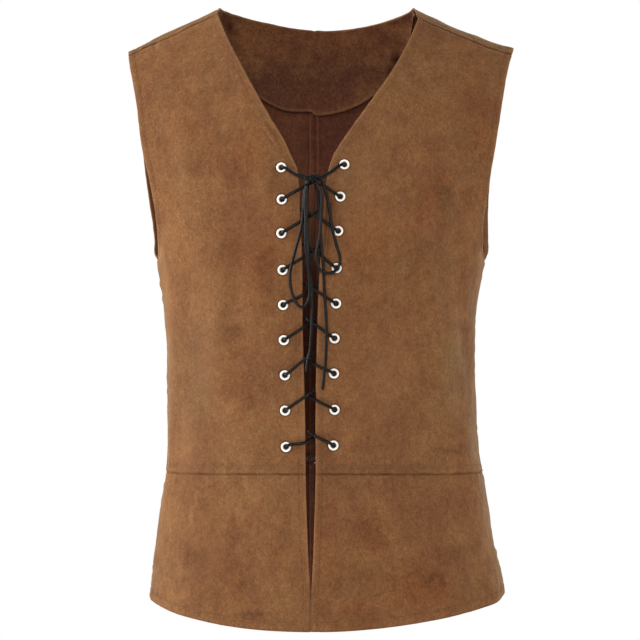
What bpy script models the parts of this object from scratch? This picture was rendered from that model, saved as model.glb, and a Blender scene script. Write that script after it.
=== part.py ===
"""A man's sleeveless laced vest in faux suede, filled out as if worn.

Two fronts and two backs reach from the shoulders to a waist seam, four skirt panels hang
below it, a half-moon facing backs the neck, and a round lace runs through nine pairs of
eyelets to a bow. Metres, +Z up. The front looks towards -Y and the wearer's left is at +X.
z = 0 is the level at which the shoulders carry the vest.
"""

import math

import bmesh
import bpy
import numpy as np
from mathutils import Matrix, Vector

FRONT, BACK = -1, 1
RIGHT, LEFT = -1, 1
SIDES = {"right": RIGHT, "left": LEFT}

# Cloth and seams
CLOTH = 0.0020
FACING_CLOTH = 0.0012
SEAM_GAP = 0.0003
SEAM_TURN = 0.10  # half a seam gap at the shoulder, in degrees of the shoulder's arch

# The body form: level sections below the armholes, an arch over each shoulder above them
SECTION_ROUND = 2.3  # exponent of the sections, where 2 is an ellipse
ARCH_ROUND = {FRONT: 2.1, BACK: 2.4}
ARM_HEIGHT = -0.264
NECK_POINT = {RIGHT: 0.1109, LEFT: 0.1038}
NECK_POINT_HEIGHT = 0.0222
SHOULDER_SLOPE = {RIGHT: 0.472, LEFT: 0.400}
SHOULDER_SAG = {RIGHT: 0.0, LEFT: 0.0035}  # how far each shoulder dips below a straight line
SHOULDER_TIP = {RIGHT: 0.2144, LEFT: 0.2165}
SEAM_RISE = {RIGHT: 74.5, LEFT: 72.5}
ARMHOLE_DEPTH = 0.62  # how far forward and back the armhole's edge lies, as a share of the section
ARMHOLE_FULL = 0.5  # the share of the armhole's height at which that is reached

# Edges
CENTRE_BACK = -0.006
BACK_NECK_HEIGHT = 0.0041
BACK_NECK_CURVE = {RIGHT: 1.28, LEFT: 2.0}
SEAM_CORNER = {RIGHT: 0.1134, LEFT: 0.1092}
V_HEIGHT = -0.1637
WAIST_HEIGHT = {"centre": -0.4925, "side": -0.4955}
HEM_CENTRE = -0.6600
HEM_SIDE = {RIGHT: -0.6365, LEFT: -0.6350}
HEM_CURVE = {RIGHT: 2.4, LEFT: 1.7}

# The facing inside the back neck
FACING_CENTRE = (-0.006, 0.0220)
FACING_RADIUS = 0.113
FACING_STANDS_OFF = 0.0025
FACING_REST = 0.0014

# Eyelets and lace
EYELET_RADIUS = 0.0055
EYELET_BORE = 0.0032
EYELET_BARREL = 0.0037
EYELET_HOLE = 0.0042
EYELET_RIM = 0.0008
LACE_RADIUS = 0.0016
KNOT_PLACE = {"x": -0.0088, "height": -0.1768, "out": 0.0090}
KNOT_RADII = (0.0082, 0.0043, 0.0052)

# Mesh steps
FINE = 4
PANEL_COLUMNS = 14
NECK_COLUMNS = 8
FACING_COLUMNS = 5
FACING_ROWS = 5
BODY_ROWS = 9
SKIRT_ROWS = 6
ARCH_ROWS = (0.0, 1.5, 4.5, 9.0, 13.5, 17.75, 25.0, 33.0, 42.0, 51.0, 60.0, 69.0)
DENSE = 160


def table(columns, *rows):
    """A table as a dictionary of its named columns."""
    return {name: np.array(values, float) for name, values in zip(columns.split(), zip(*rows))}


# Half widths and depths of the body's level sections
SECTIONS = table(
    "height half_right half_left front back",
    (-0.668, 0.1925, 0.2075, 0.1430, 0.1380),
    (-0.627, 0.1892, 0.2055, 0.1390, 0.1330),
    (-0.573, 0.1830, 0.1942, 0.1310, 0.1250),
    (-0.520, 0.1760, 0.1855, 0.1240, 0.1170),
    (-0.493, 0.1715, 0.1808, 0.1210, 0.1135),
    (-0.466, 0.1700, 0.1765, 0.1200, 0.1120),
    (-0.417, 0.1705, 0.1735, 0.1205, 0.1125),
    (-0.358, 0.1712, 0.1727, 0.1240, 0.1160),
    (-0.305, 0.1760, 0.1758, 0.1265, 0.1195),
    (-0.264, 0.1808, 0.1830, 0.1280, 0.1220),
)

# The armholes' edges by the share of the armhole's height
ARMHOLES = table(
    "height front_right back_right front_left back_left",
    (0.000, 0.1808, 0.1808, 0.1830, 0.1830),
    (0.040, 0.1790, 0.1866, 0.1805, 0.1888),
    (0.114, 0.1785, 0.1887, 0.1792, 0.1910),
    (0.253, 0.1822, 0.1938, 0.1822, 0.1925),
    (0.396, 0.1889, 0.1988, 0.1872, 0.1952),
    (0.544, 0.1961, 0.2030, 0.1930, 0.2000),
    (0.714, 0.2020, 0.2078, 0.2003, 0.2058),
    (0.895, 0.2096, 0.2124, 0.2086, 0.2126),
    (1.000, SHOULDER_TIP[RIGHT], SHOULDER_TIP[RIGHT], SHOULDER_TIP[LEFT], SHOULDER_TIP[LEFT]),
)

# The fronts' free edges, from the hem to the bottom of the V, and from there to the shoulder seam
OPENING_EDGES = table(
    "height right left",
    (-0.6600, -0.0105, -0.0099),
    (-0.6300, -0.0105, -0.0099),
    (-0.6130, -0.0111, -0.0087),
    (-0.5650, -0.0135, -0.0066),
    (-0.5000, -0.0156, -0.0046),
    (-0.4370, -0.0162, -0.0046),
    (-0.3430, -0.0186, -0.0030),
    (-0.2500, -0.0197, 0.0011),
    (-0.2100, -0.0217, 0.0038),
    (-0.1850, -0.0223, 0.0062),
    (-0.1637, -0.0247, 0.0097),
)
V_EDGES = table(
    "height right left",
    (-0.1637, -0.0247, 0.0097),
    (-0.1506, -0.0310, 0.0142),
    (-0.1332, -0.0387, 0.0247),
    (-0.1157, -0.0494, 0.0368),
    (-0.0892, -0.0646, 0.0557),
    (-0.0532, -0.0838, 0.0802),
    (-0.0157, -0.1026, 0.1000),
    (0.0120, -0.1137, 0.1109),
)

# Eyelets: height, distance from the front's edge, and how far above the straight line to the next
# eyelet the lace that comes out here crosses the gap
EYELETS = table(
    "height_right inset_right shift_right height_left inset_left shift_left",
    (-0.1630, 0.0165, 0.0000, -0.1598, 0.0153, 0.0000),
    (-0.1975, 0.0190, 0.0002, -0.1945, 0.0166, 0.0028),
    (-0.2339, 0.0208, -0.0006, -0.2314, 0.0172, 0.0020),
    (-0.2733, 0.0209, -0.0022, -0.2712, 0.0178, 0.0030),
    (-0.3109, 0.0206, -0.0042, -0.3093, 0.0190, 0.0002),
    (-0.3486, 0.0202, -0.0012, -0.3467, 0.0187, 0.0014),
    (-0.3864, 0.0202, 0.0016, -0.3845, 0.0190, -0.0040),
    (-0.4244, 0.0210, -0.0012, -0.4235, 0.0202, -0.0038),
    (-0.4636, 0.0206, -0.0118, -0.4619, 0.0190, -0.0043),
)

# Largest folds: the turn round the body in degrees (0 centre front, wearer's left positive, 180
# centre back) and the height at both ends, the half width in degrees and the height of the ridge
FOLDS = table(
    "turn_from height_from turn_to height_to half_width ridge",
    (-44.0, -0.235, -50.0, -0.400, 6.5, 0.0030),
    (-36.0, -0.215, -40.0, -0.350, 5.5, -0.0022),
    (-60.0, -0.250, -62.0, -0.420, 6.0, -0.0022),
    (-74.0, -0.300, -76.0, -0.520, 6.0, 0.0020),
    (36.0, -0.220, 50.0, -0.455, 4.5, -0.0030),
    (47.0, -0.250, 59.0, -0.440, 5.5, 0.0030),
    (58.0, -0.235, 72.0, -0.380, 5.0, -0.0022),
    (22.0, -0.330, 26.0, -0.450, 5.0, 0.0016),
    (-50.0, -0.530, -54.0, -0.650, 8.0, 0.0024),
    (-28.0, -0.540, -30.0, -0.650, 6.0, -0.0016),
    (34.0, -0.530, 38.0, -0.650, 8.0, 0.0022),
    (62.0, -0.500, 66.0, -0.640, 7.0, -0.0024),
    (122.0, -0.280, 132.0, -0.460, 6.0, -0.0030),
    (138.0, -0.240, 146.0, -0.450, 6.0, 0.0026),
    (160.0, -0.300, 164.0, -0.470, 5.0, -0.0022),
    (-120.0, -0.270, -130.0, -0.470, 6.0, 0.0028),
    (-136.0, -0.250, -147.0, -0.440, 6.0, -0.0028),
    (-158.0, -0.330, -163.0, -0.480, 5.5, 0.0022),
    (126.0, -0.520, 130.0, -0.650, 8.0, 0.0028),
    (152.0, -0.530, 155.0, -0.650, 7.0, -0.0024),
    (-128.0, -0.520, -133.0, -0.650, 8.0, -0.0026),
    (-152.0, -0.520, -157.0, -0.650, 8.0, 0.0028),
)
FOLD_FADE = 0.040

# Routes of the bow: x, height, and how far out of the fronts' surface the lace's middle lies
BOW_LOOP_RIGHT = (
    (-0.0152, -0.1840, 0.0092),
    (-0.0168, -0.1945, 0.0090),
    (-0.0177, -0.2060, 0.0086),
    (-0.0190, -0.2221, 0.0071),
    (-0.0222, -0.2371, 0.0064),
    (-0.0284, -0.2606, 0.0062),
    (-0.0318, -0.2767, 0.0062),
    (-0.0306, -0.2928, 0.0064),
    (-0.0264, -0.3056, 0.0071),
    (-0.0207, -0.3125, 0.0086),
    (-0.0146, -0.3100, 0.0098),
    (-0.0110, -0.3000, 0.0104),
    (-0.0116, -0.2788, 0.0104),
    (-0.0139, -0.2606, 0.0104),
    (-0.0152, -0.2414, 0.0107),
    (-0.0150, -0.2220, 0.0114),
    (-0.0157, -0.2040, 0.0121),
    (-0.0151, -0.1930, 0.0123),
    (-0.0138, -0.1838, 0.0123),
)
BOW_LOOP_LEFT = (
    (0.0020, -0.1790, 0.0085),
    (0.0052, -0.1873, 0.0082),
    (0.0098, -0.2080, 0.0076),
    (0.0121, -0.2250, 0.0073),
    (0.0173, -0.2464, 0.0072),
    (0.0210, -0.2595, 0.0074),
    (0.0200, -0.2687, 0.0080),
    (0.0143, -0.2752, 0.0094),
    (0.0059, -0.2760, 0.0104),
    (-0.0013, -0.2712, 0.0106),
    (-0.0044, -0.2606, 0.0106),
    (-0.0030, -0.2494, 0.0106),
    (-0.0004, -0.2371, 0.0106),
    (0.0006, -0.2220, 0.0106),
    (0.0013, -0.2050, 0.0106),
    (0.0010, -0.1945, 0.0106),
    (-0.0010, -0.1838, 0.0104),
)
BOW_END_RIGHT = (
    (-0.0124, -0.1836, 0.0063),
    (-0.0144, -0.1940, 0.0063),
    (-0.0150, -0.2060, 0.0063),
    (-0.0141, -0.2221, 0.0063),
    (-0.0131, -0.2380, 0.0064),
    (-0.0120, -0.2521, 0.0066),
    (-0.0109, -0.2713, 0.0066),
    (-0.0091, -0.2885, 0.0066),
    (-0.0082, -0.3056, 0.0066),
    (-0.0087, -0.3281, 0.0066),
    (-0.0100, -0.3495, 0.0066),
    (-0.0109, -0.3608, 0.0066),
    (-0.0133, -0.3705, 0.0066),
    (-0.0146, -0.3827, 0.0066),
)
BOW_END_LEFT = (
    (-0.0050, -0.1836, 0.0066),
    (-0.0030, -0.1905, 0.0066),
    (-0.0018, -0.2000, 0.0066),
    (-0.0010, -0.2120, 0.0067),
    (0.0004, -0.2307, 0.0068),
    (0.0017, -0.2521, 0.0068),
    (0.0032, -0.2649, 0.0068),
    (0.0042, -0.2831, 0.0068),
    (0.0049, -0.2981, 0.0068),
    (0.0064, -0.3206, 0.0068),
    (0.0069, -0.3431, 0.0068),
    (0.0058, -0.3720, 0.0068),
    (0.0042, -0.3869, 0.0068),
    (0.0027, -0.4014, 0.0068),
)

# Each run of the lace from one eyelet to the next: how far out it lies over and under the fronts
LACE_IN_BORE = -0.0010
LACE_AT_BORE = {"along": 0.0014, "over": 0.0024, "under": -0.0044}
LACE_AT_RIM = {"along": 0.0046, "over": 0.0032, "under": -0.0052}
LACE_AT_EDGE = {"over": 0.0024, "under": -0.0048}
LACE_CROSSES = 0.0020
LACE_PAST_BORE = 0.0007
LACE_TURNS_DOWN = 0.0022  # how far below the lowest eyelets the lace turns to the bar
BAR_HEIGHT = -0.4754
BAR_STRAIGHT = 0.45  # the share of the way from the middle to the eyelet that the bar runs level
LACE_TO_KNOT = {"down": 0.0010, "halfway_out": 0.0060, "meets_above": 0.0008}


def read(rows, column, height):
    """A smooth curve through a table's column, read at these heights."""
    known, values = rows["height"], rows[column]
    slopes = np.gradient(values, known)
    height = np.clip(height, known[0], known[-1])
    i = np.clip(np.searchsorted(known, height, side="right") - 1, 0, len(known) - 2)
    step = known[i + 1] - known[i]
    t = (height - known[i]) / step
    start = (1 + 2 * t) * (1 - t) ** 2 * values[i] + t * (1 - t) ** 2 * step * slopes[i]
    end = t**2 * (3 - 2 * t) * values[i + 1] - t**2 * (1 - t) * step * slopes[i + 1]
    return start + end


def side_name(side):
    return "left" if side == LEFT else "right"


def face_name(face):
    return "front" if face == FRONT else "back"


def signed_power(value, exponent):
    return np.sign(value) * np.abs(value) ** exponent


def shoulder_line(side, x):
    """Height of the shoulder's top at a distance from the middle. Inside the neck point it levels off."""
    x, neck, slope = np.abs(x), NECK_POINT[side], SHOULDER_SLOPE[side]
    along = np.clip((x - neck) / (SHOULDER_TIP[side] - neck), 0, 1)
    outside = NECK_POINT_HEIGHT - slope * (x - neck) - SHOULDER_SAG[side] * np.sin(np.pi * along)
    inside = NECK_POINT_HEIGHT + slope * (neck**2 - x**2) / (2 * neck)
    return np.where(x > neck, outside, inside)


def arch(face, rise):
    """(reach, lift) at an angle up the arch: reach goes from 1 to 0 and lift from 0 to 1."""
    exponent = 2 / ARCH_ROUND[face]
    angle = np.radians(rise)
    return np.abs(np.cos(angle)) ** exponent, np.abs(np.sin(angle)) ** exponent


def arch_angle(face, side, x, height):
    """The angle up the arch of the point at x and this height."""
    lift = (height - ARM_HEIGHT) / (shoulder_line(side, x) - ARM_HEIGHT)
    return np.degrees(np.arcsin(np.clip(lift, 0, 1) ** (ARCH_ROUND[face] / 2)))


def armhole_edge(face, side, lift):
    return read(ARMHOLES, f"{face_name(face)}_{side_name(side)}", lift)


def arch_point(face, side, x, rise):
    """Points above the armholes. x is the distance towards that side."""
    reach, lift = arch(face, rise)
    grown = np.clip(lift / ARMHOLE_FULL, 0, 1)
    share = ARMHOLE_DEPTH * np.sqrt(1 - (1 - grown) ** 2)
    half = armhole_edge(face, side, lift) / (1 - share**SECTION_ROUND) ** (1 / SECTION_ROUND)
    across = np.clip(1 - (np.abs(x) / half) ** SECTION_ROUND, 0, 1) ** (1 / SECTION_ROUND)
    depth = read(SECTIONS, face_name(face), ARM_HEIGHT)
    height = ARM_HEIGHT + lift * (shoulder_line(side, x) - ARM_HEIGHT)
    return np.stack([side * x, face * depth * reach * across, height], -1)


def body_point(face, side, turn, height):
    """Points below the armholes. turn is 0 at the middle and 90 at the side seam, in degrees."""
    angle = np.radians(turn)
    half = read(SECTIONS, f"half_{side_name(side)}", height)
    depth = read(SECTIONS, face_name(face), height)
    x = side * half * signed_power(np.sin(angle), 2 / SECTION_ROUND)
    y = face * depth * np.abs(np.cos(angle)) ** (2 / SECTION_ROUND)
    return np.stack([x, y, height + 0 * x], -1)


def drape(points):
    """How far the folds lift the cloth at these points."""
    turn = np.degrees(np.arctan2(points[..., 0], -points[..., 1]))
    height = points[..., 2]
    lifted = np.zeros_like(turn)
    for turn_from, height_from, turn_to, height_to, half_width, ridge in zip(*FOLDS.values()):
        along = (height_from - height) / (height_from - height_to)
        across = (turn - turn_from - (turn_to - turn_from) * along) / half_width
        ends = np.minimum(height_from - height, height - height_to)
        fade = np.clip(ends / FOLD_FADE + 0.5, 0, 1)
        lifted += ridge * np.exp(-(across**2)) * fade**2 * (3 - 2 * fade)
    return lifted


def spread(row, count, trim_start=0.0, trim_end=0.0):
    """count + 1 points evenly along a row, with its ends cut back."""
    steps = np.linalg.norm(np.diff(row, axis=0), axis=1)
    length = np.concatenate([[0], np.cumsum(steps)])
    wanted = np.linspace(trim_start, length[-1] - trim_end, count + 1)
    return np.stack([np.interp(wanted, length, row[:, axis]) for axis in range(3)], -1)


def finer(values):
    """The same run of values with FINE steps for each step."""
    count = (len(values) - 1) * FINE
    return np.interp(np.arange(count + 1) / FINE, np.arange(len(values)), values)


def edge_x(side, height):
    """A front's free edge as a distance towards its own side, negative past the middle."""
    rows = V_EDGES if height > V_HEIGHT else OPENING_EDGES
    return side * float(read(rows, side_name(side), height))


def body_row(face, side, inner, centre_height, side_height, curve):
    """A dense row below the armholes, from the inner edge to the side seam."""
    half = float(read(SECTIONS, f"half_{side_name(side)}", centre_height))
    start = math.degrees(math.asin(signed_power(inner / half, SECTION_ROUND / 2)))
    turn = np.linspace(start, 90, DENSE)
    share = np.abs(np.sin(np.radians(turn))) ** (2 * curve / SECTION_ROUND)
    return body_point(face, side, turn, centre_height + (side_height - centre_height) * share)


def body_rows(face, side, low, high, rows, curve):
    """Rows between two seams or edges, each given by its centre and side heights."""
    made = []
    for share in np.linspace(0, 1, rows * FINE + 1):
        centre = low["centre"] + (high["centre"] - low["centre"]) * share
        outer = low["side"] + (high["side"] - low["side"]) * share
        inner = edge_x(side, centre) if face == FRONT else side * CENTRE_BACK
        row = body_row(face, side, inner, centre, outer, curve)
        seam = 0.0 if face == FRONT else SEAM_GAP / 2
        made.append(spread(row, PANEL_COLUMNS * FINE, seam, SEAM_GAP / 2))
    return np.array(made)


def shifted(heights, by):
    return {place: height + by for place, height in heights.items()}


def arm_level():
    return {"centre": ARM_HEIGHT, "side": ARM_HEIGHT}


def column_shares(face, side, inner):
    """Each column's place between the inner edge and the side seam, at the armholes' level."""
    row = spread(body_row(face, side, inner, ARM_HEIGHT, ARM_HEIGHT, 1.0), PANEL_COLUMNS * FINE)
    half = row[-1, 0]
    return (row[:, 0] - row[0, 0]) / (half - row[0, 0])


def front_arch(side):
    """The front's rows above the armholes, up to the shoulder seam."""
    top = SEAM_RISE[side] - SEAM_TURN
    low_shares = column_shares(FRONT, side, edge_x(side, ARM_HEIGHT))
    even = np.linspace(0, 1, len(low_shares))
    rows = []
    for rise in finer(ARCH_ROWS + (top,))[1:]:
        lift = float(arch(FRONT, rise)[1])
        limit = float(armhole_edge(FRONT, side, lift))
        inner = SEAM_CORNER[side]
        for _ in range(6):
            height = ARM_HEIGHT + lift * float(shoulder_line(side, inner) - ARM_HEIGHT)
            inner = edge_x(side, height)
        share = rise / top
        shares = low_shares * (1 - share) + even * share
        rows.append(arch_point(FRONT, side, inner + (limit - inner) * shares, rise))
    return np.array(rows)


def over_shoulder(side, x, rise):
    """The back's surface, which runs on past the top of the shoulder at 90 degrees."""
    behind = arch_point(BACK, side, x, np.minimum(rise, 90))
    before = arch_point(FRONT, side, x, 180 - np.maximum(rise, 90))
    return np.where((rise > 90)[..., None], before, behind)


def back_neck_height(side, x):
    share = np.clip(np.abs(x) / NECK_POINT[side], 0, 1)
    return BACK_NECK_HEIGHT + (NECK_POINT_HEIGHT - BACK_NECK_HEIGHT) * share ** BACK_NECK_CURVE[side]


def back_top_edge(side):
    """(x, rise) along the back's top: its neckline, over the shoulder's top, then the shoulder seam."""
    seam = 180 - SEAM_RISE[side] - SEAM_TURN
    start = side * CENTRE_BACK + SEAM_GAP / 2
    x = start + (NECK_POINT[side] - start) * np.sin(np.radians(np.linspace(0, 90, DENSE)))
    neckline = np.stack([x, arch_angle(BACK, side, x, back_neck_height(side, x))], -1)
    over = np.linspace([NECK_POINT[side], 90.0], [SEAM_CORNER[side], seam], DENSE)
    tip = float(armhole_edge(FRONT, side, arch(FRONT, 180 - seam)[1]))
    shoulder = np.linspace([SEAM_CORNER[side], seam], [tip, seam], DENSE)
    parts = []
    for run, columns in ((np.vstack([neckline, over]), NECK_COLUMNS), (shoulder, PANEL_COLUMNS - NECK_COLUMNS)):
        points = over_shoulder(side, run[:, 0], run[:, 1])
        steps = np.concatenate([[0], np.cumsum(np.linalg.norm(np.diff(points, axis=0), axis=1))])
        wanted = np.linspace(0, steps[-1], columns * FINE + 1)
        parts.append(np.stack([np.interp(wanted, steps, run[:, axis]) for axis in range(2)], -1))
    return np.vstack([parts[0], parts[1][1:]])


def back_arch(side):
    """The back's rows above the armholes, up to the neckline and the shoulder seam."""
    top = back_top_edge(side)
    start = top[0, 0]
    low_shares = column_shares(BACK, side, side * CENTRE_BACK)
    top_lift = np.where(top[:, 1] > 90, arch(FRONT, 180 - top[:, 1])[1], arch(BACK, top[:, 1])[1])
    top_face = np.where(
        top[:, 1] > 90, armhole_edge(FRONT, side, top_lift), armhole_edge(BACK, side, top_lift)
    )
    top_shares = (top[:, 0] - start) / (top_face - start)
    rows = []
    steps = finer(ARCH_ROWS + (SEAM_RISE[RIGHT],))[1:] / SEAM_RISE[RIGHT]
    for share in steps:
        rise = top[:, 1] * share
        lift = np.where(rise > 90, arch(FRONT, 180 - rise)[1], arch(BACK, rise)[1])
        limit = np.where(rise > 90, armhole_edge(FRONT, side, lift), armhole_edge(BACK, side, lift))
        shares = low_shares * (1 - share) + top_shares * share
        rows.append(over_shoulder(side, start + (limit - start) * shares, rise))
    return np.array(rows)


def outward(grid):
    """Unit normals of a grid of points, away from the body's middle."""
    normals = np.cross(np.gradient(grid, axis=1), np.gradient(grid, axis=0))
    normals /= np.linalg.norm(normals, axis=-1, keepdims=True)
    middle = tuple(size // 2 for size in grid.shape[:2])
    return normals if normals[middle] @ (grid[middle] * (1, 1, 0)) > 0 else -normals


def clear_scene():
    for obj in list(bpy.data.objects):
        bpy.data.objects.remove(obj, do_unlink=True)


def material(name, colour, roughness, metallic=0.0):
    made = bpy.data.materials.new(name)
    made.use_nodes = True
    shader = made.node_tree.nodes["Principled BSDF"]
    shader.inputs["Base Color"].default_value = (*colour, 1)
    shader.inputs["Roughness"].default_value = roughness
    shader.inputs["Metallic"].default_value = metallic
    return made


def mesh_object(name, build, surface):
    """An object from a bmesh, with its faces turned outward."""
    bmesh.ops.recalc_face_normals(build, faces=build.faces)
    mesh = bpy.data.meshes.new(name)
    build.to_mesh(mesh)
    build.free()
    mesh.shade_smooth()
    mesh.set_sharp_from_angle(angle=math.radians(40))
    mesh.materials.append(surface)
    obj = bpy.data.objects.new(name, mesh)
    bpy.context.scene.collection.objects.link(obj)
    return obj


def wall(name, outer, inner, surface):
    """A closed wall between two grids of points of the same shape.

    Each cell is split along the diagonal that lies further out, as the smooth cloth does.
    """
    rows, columns = outer.shape[:2]
    build = bmesh.new()
    layers = [[[build.verts.new(p) for p in row] for row in grid.tolist()] for grid in (outer, inner)]
    bulge = (outer[:-1, :-1] + outer[1:, 1:] - outer[:-1, 1:] - outer[1:, :-1]) * (outer - inner)[:-1, :-1]
    for r in range(rows - 1):
        for c in range(columns - 1):
            corners = [(r, c), (r, c + 1), (r + 1, c + 1), (r + 1, c)]
            if bulge[r, c].sum() < 0:
                corners = corners[1:] + corners[:1]
            for layer in layers:
                first, second, third, fourth = (layer[i][j] for i, j in corners)
                build.faces.new((first, second, third))
                build.faces.new((first, third, fourth))
    out, back = layers
    for r in range(rows - 1):
        for c in (0, columns - 1):
            build.faces.new((out[r][c], out[r + 1][c], back[r + 1][c], back[r][c]))
    for c in range(columns - 1):
        for r in (0, rows - 1):
            build.faces.new((out[r][c], out[r][c + 1], back[r][c + 1], back[r][c]))
    return mesh_object(name, build, surface)


def layers_of(grid):
    """Both sides of a panel from its fine grid: draped, given its thickness and thinned out."""
    normals = outward(grid)
    outer = (grid + normals * drape(grid)[..., None])[::FINE, ::FINE]
    return outer, outer - normals[::FINE, ::FINE] * CLOTH


def front_place(x, height, out):
    """The point at x and height, this far out of the fronts' surface, and the surface's normal."""

    def surface_at(x, height):
        side = LEFT if x > 0 else RIGHT
        if height > ARM_HEIGHT:
            rise = arch_angle(FRONT, side, abs(x), height)
            point = arch_point(FRONT, side, np.array(abs(x)), rise)
        else:
            half = float(read(SECTIONS, f"half_{side_name(side)}", height))
            turn = math.degrees(math.asin((abs(x) / half) ** (SECTION_ROUND / 2)))
            point = body_point(FRONT, side, np.array(turn), height)
        return Vector(point + (0, -float(drape(point)), 0))

    step = 0.002
    here = surface_at(x, height)
    across = surface_at(x + step, height) - surface_at(x - step, height)
    up = surface_at(x, height + step) - surface_at(x, height - step)
    normal = across.cross(up).normalized()
    return here + normal * out, normal


def eyelet_place(side, number):
    height = float(EYELETS[f"height_{side_name(side)}"][number])
    inset = float(EYELETS[f"inset_{side_name(side)}"][number])
    return side * (edge_x(side, height) + inset), height


def turned(profile, sides):
    """A closed ring turned from a profile of (radius, along) points about +Z."""
    build = bmesh.new()
    rings = []
    for i in range(sides):
        angle = 2 * math.pi * i / sides
        ring = [(r * math.cos(angle), r * math.sin(angle), along) for r, along in profile]
        rings.append([build.verts.new(point) for point in ring])
    for i in range(sides):
        here, there = rings[i], rings[(i + 1) % sides]
        for j in range(len(profile)):
            k = (j + 1) % len(profile)
            build.faces.new((here[j], there[j], there[k], here[k]))
    return build


def facing_out(side, number):
    """The matrix that stands an eyelet on the front, its +Z out of the cloth."""
    place, normal = front_place(*eyelet_place(side, number), 0.0)
    return Matrix.Translation(place) @ normal.to_track_quat("Z", "Y").to_matrix().to_4x4()


def eyelet(name, side, number, surface):
    """One eyelet: a rounded flange outside, a barrel through the cloth and a rolled end inside."""
    under = -CLOTH - SEAM_GAP
    profile = (
        (EYELET_BORE, EYELET_RIM),
        ((EYELET_BORE + EYELET_RADIUS) / 2, SEAM_GAP + EYELET_RIM),
        (EYELET_RADIUS, SEAM_GAP),
        (EYELET_BARREL, SEAM_GAP),
        (EYELET_BARREL, under),
        (EYELET_RADIUS - EYELET_RIM, under),
        (EYELET_RADIUS - EYELET_RIM, under - EYELET_RIM / 2),
        (EYELET_BORE, under - EYELET_RIM),
    )
    obj = mesh_object(name, turned(profile, 10), surface)
    obj.matrix_world = facing_out(side, number)
    return obj


def cut_eyelet_holes(front, side):
    """Cuts the nine holes of a front."""
    build = bmesh.new()
    for number in range(len(EYELETS["height_right"])):
        bmesh.ops.create_cone(
            build,
            cap_ends=True,
            segments=10,
            radius1=EYELET_HOLE,
            radius2=EYELET_HOLE,
            depth=5 * CLOTH,
            matrix=facing_out(side, number),
        )
    mesh = bpy.data.meshes.new("holes")
    build.to_mesh(mesh)
    build.free()
    cutter = bpy.data.objects.new(f"holes_{side_name(side)}", mesh)
    bpy.context.scene.collection.objects.link(cutter)
    cutter.hide_render = True
    cutter.display_type = "WIRE"
    cut = front.modifiers.new("eyelet_holes", "BOOLEAN")
    cut.operation = "DIFFERENCE"
    cut.solver = "EXACT"
    cut.object = cutter


def facing_column(points, inward):
    """Points down a column of the back's inside, from the neckline to the facing's arc, and the way inward."""
    middle, centre_height = FACING_CENTRE
    reach = np.hypot(points[:, 0] - middle, points[:, 2] - centre_height)
    past = int(np.argmax(reach > FACING_RADIUS))
    share = (FACING_RADIUS - reach[past - 1]) / (reach[past] - reach[past - 1])
    kept = np.arange(past).tolist() + [past - 1 + share]
    column = [np.interp(kept, np.arange(len(points)), points[:, axis]) for axis in range(3)]
    ways = [np.interp(kept, np.arange(len(points)), inward[:, axis]) for axis in range(3)]
    both = np.stack(column, -1), np.stack(ways, -1)
    steps = np.concatenate([[0], np.cumsum(np.linalg.norm(np.diff(both[0], axis=0), axis=1))])
    wanted = np.linspace(0, steps[-1], FACING_ROWS + 1)
    return [np.stack([np.interp(wanted, steps, run[:, axis]) for axis in range(3)], -1) for run in both]


def facing(name, backs, surface):
    """The half-moon facing, made from the backs' inner points: the neckline above, a wide arc below."""
    columns = []
    for number in range(FACING_COLUMNS, -FACING_COLUMNS - 1, -1):
        if number == 0:
            pairs = [(outer[::-1, 0], inner[::-1, 0]) for outer, inner in backs.values()]
            outer, inner = np.mean(pairs, axis=0)
        else:
            outer, inner = [layer[::-1, abs(number)] for layer in backs["right" if number > 0 else "left"]]
        columns.append(facing_column(inner, (inner - outer) / CLOTH))
    lean = FACING_STANDS_OFF * np.linspace(0, 1, FACING_ROWS + 1)[:, None] ** 2
    near = np.array([points + ways * (FACING_REST + lean) for points, ways in columns])
    far = np.array([points + ways * (FACING_REST + FACING_CLOTH + lean) for points, ways in columns])
    return wall(name, near, far, surface)


def smooth_line(points, samples):
    """A Catmull-Rom curve through the points, with this many samples for each stretch."""
    points = [Vector(p) for p in points]
    padded = [2 * points[0] - points[1]] + points + [2 * points[-1] - points[-2]]
    line = []
    for a, b, c, d in zip(padded, padded[1:], padded[2:], padded[3:]):
        for i in range(samples):
            t = i / samples
            line.append(
                0.5 * (2 * b + (c - a) * t + (2 * a - 5 * b + 4 * c - d) * t**2)
                + 0.5 * (3 * b - a - 3 * c + d) * t**3
            )
    return line + [points[-1]]


def tube(name, line, surface):
    """A round lace along a line, its ends closed."""
    curve = bpy.data.curves.new(name, "CURVE")
    curve.dimensions = "3D"
    curve.bevel_depth = LACE_RADIUS
    curve.bevel_resolution = 2
    curve.use_fill_caps = True
    spline = curve.splines.new("POLY")
    spline.points.add(len(line) - 1)
    for point, place in zip(spline.points, line):
        point.co = (*place, 1)
    curve.materials.append(surface)
    obj = bpy.data.objects.new(name, curve)
    bpy.context.scene.collection.objects.link(obj)
    return obj


def bow_strand(name, route, surface):
    """A loop or a free end of the bow, with a point every two diameters."""
    line = smooth_line([front_place(*step)[0] for step in route], 8)
    length = sum((b - a).length for a, b in zip(line, line[1:]))
    even = spread(np.array(line), round(length / (4 * LACE_RADIUS)))
    return tube(name, even.tolist(), surface)


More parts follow.
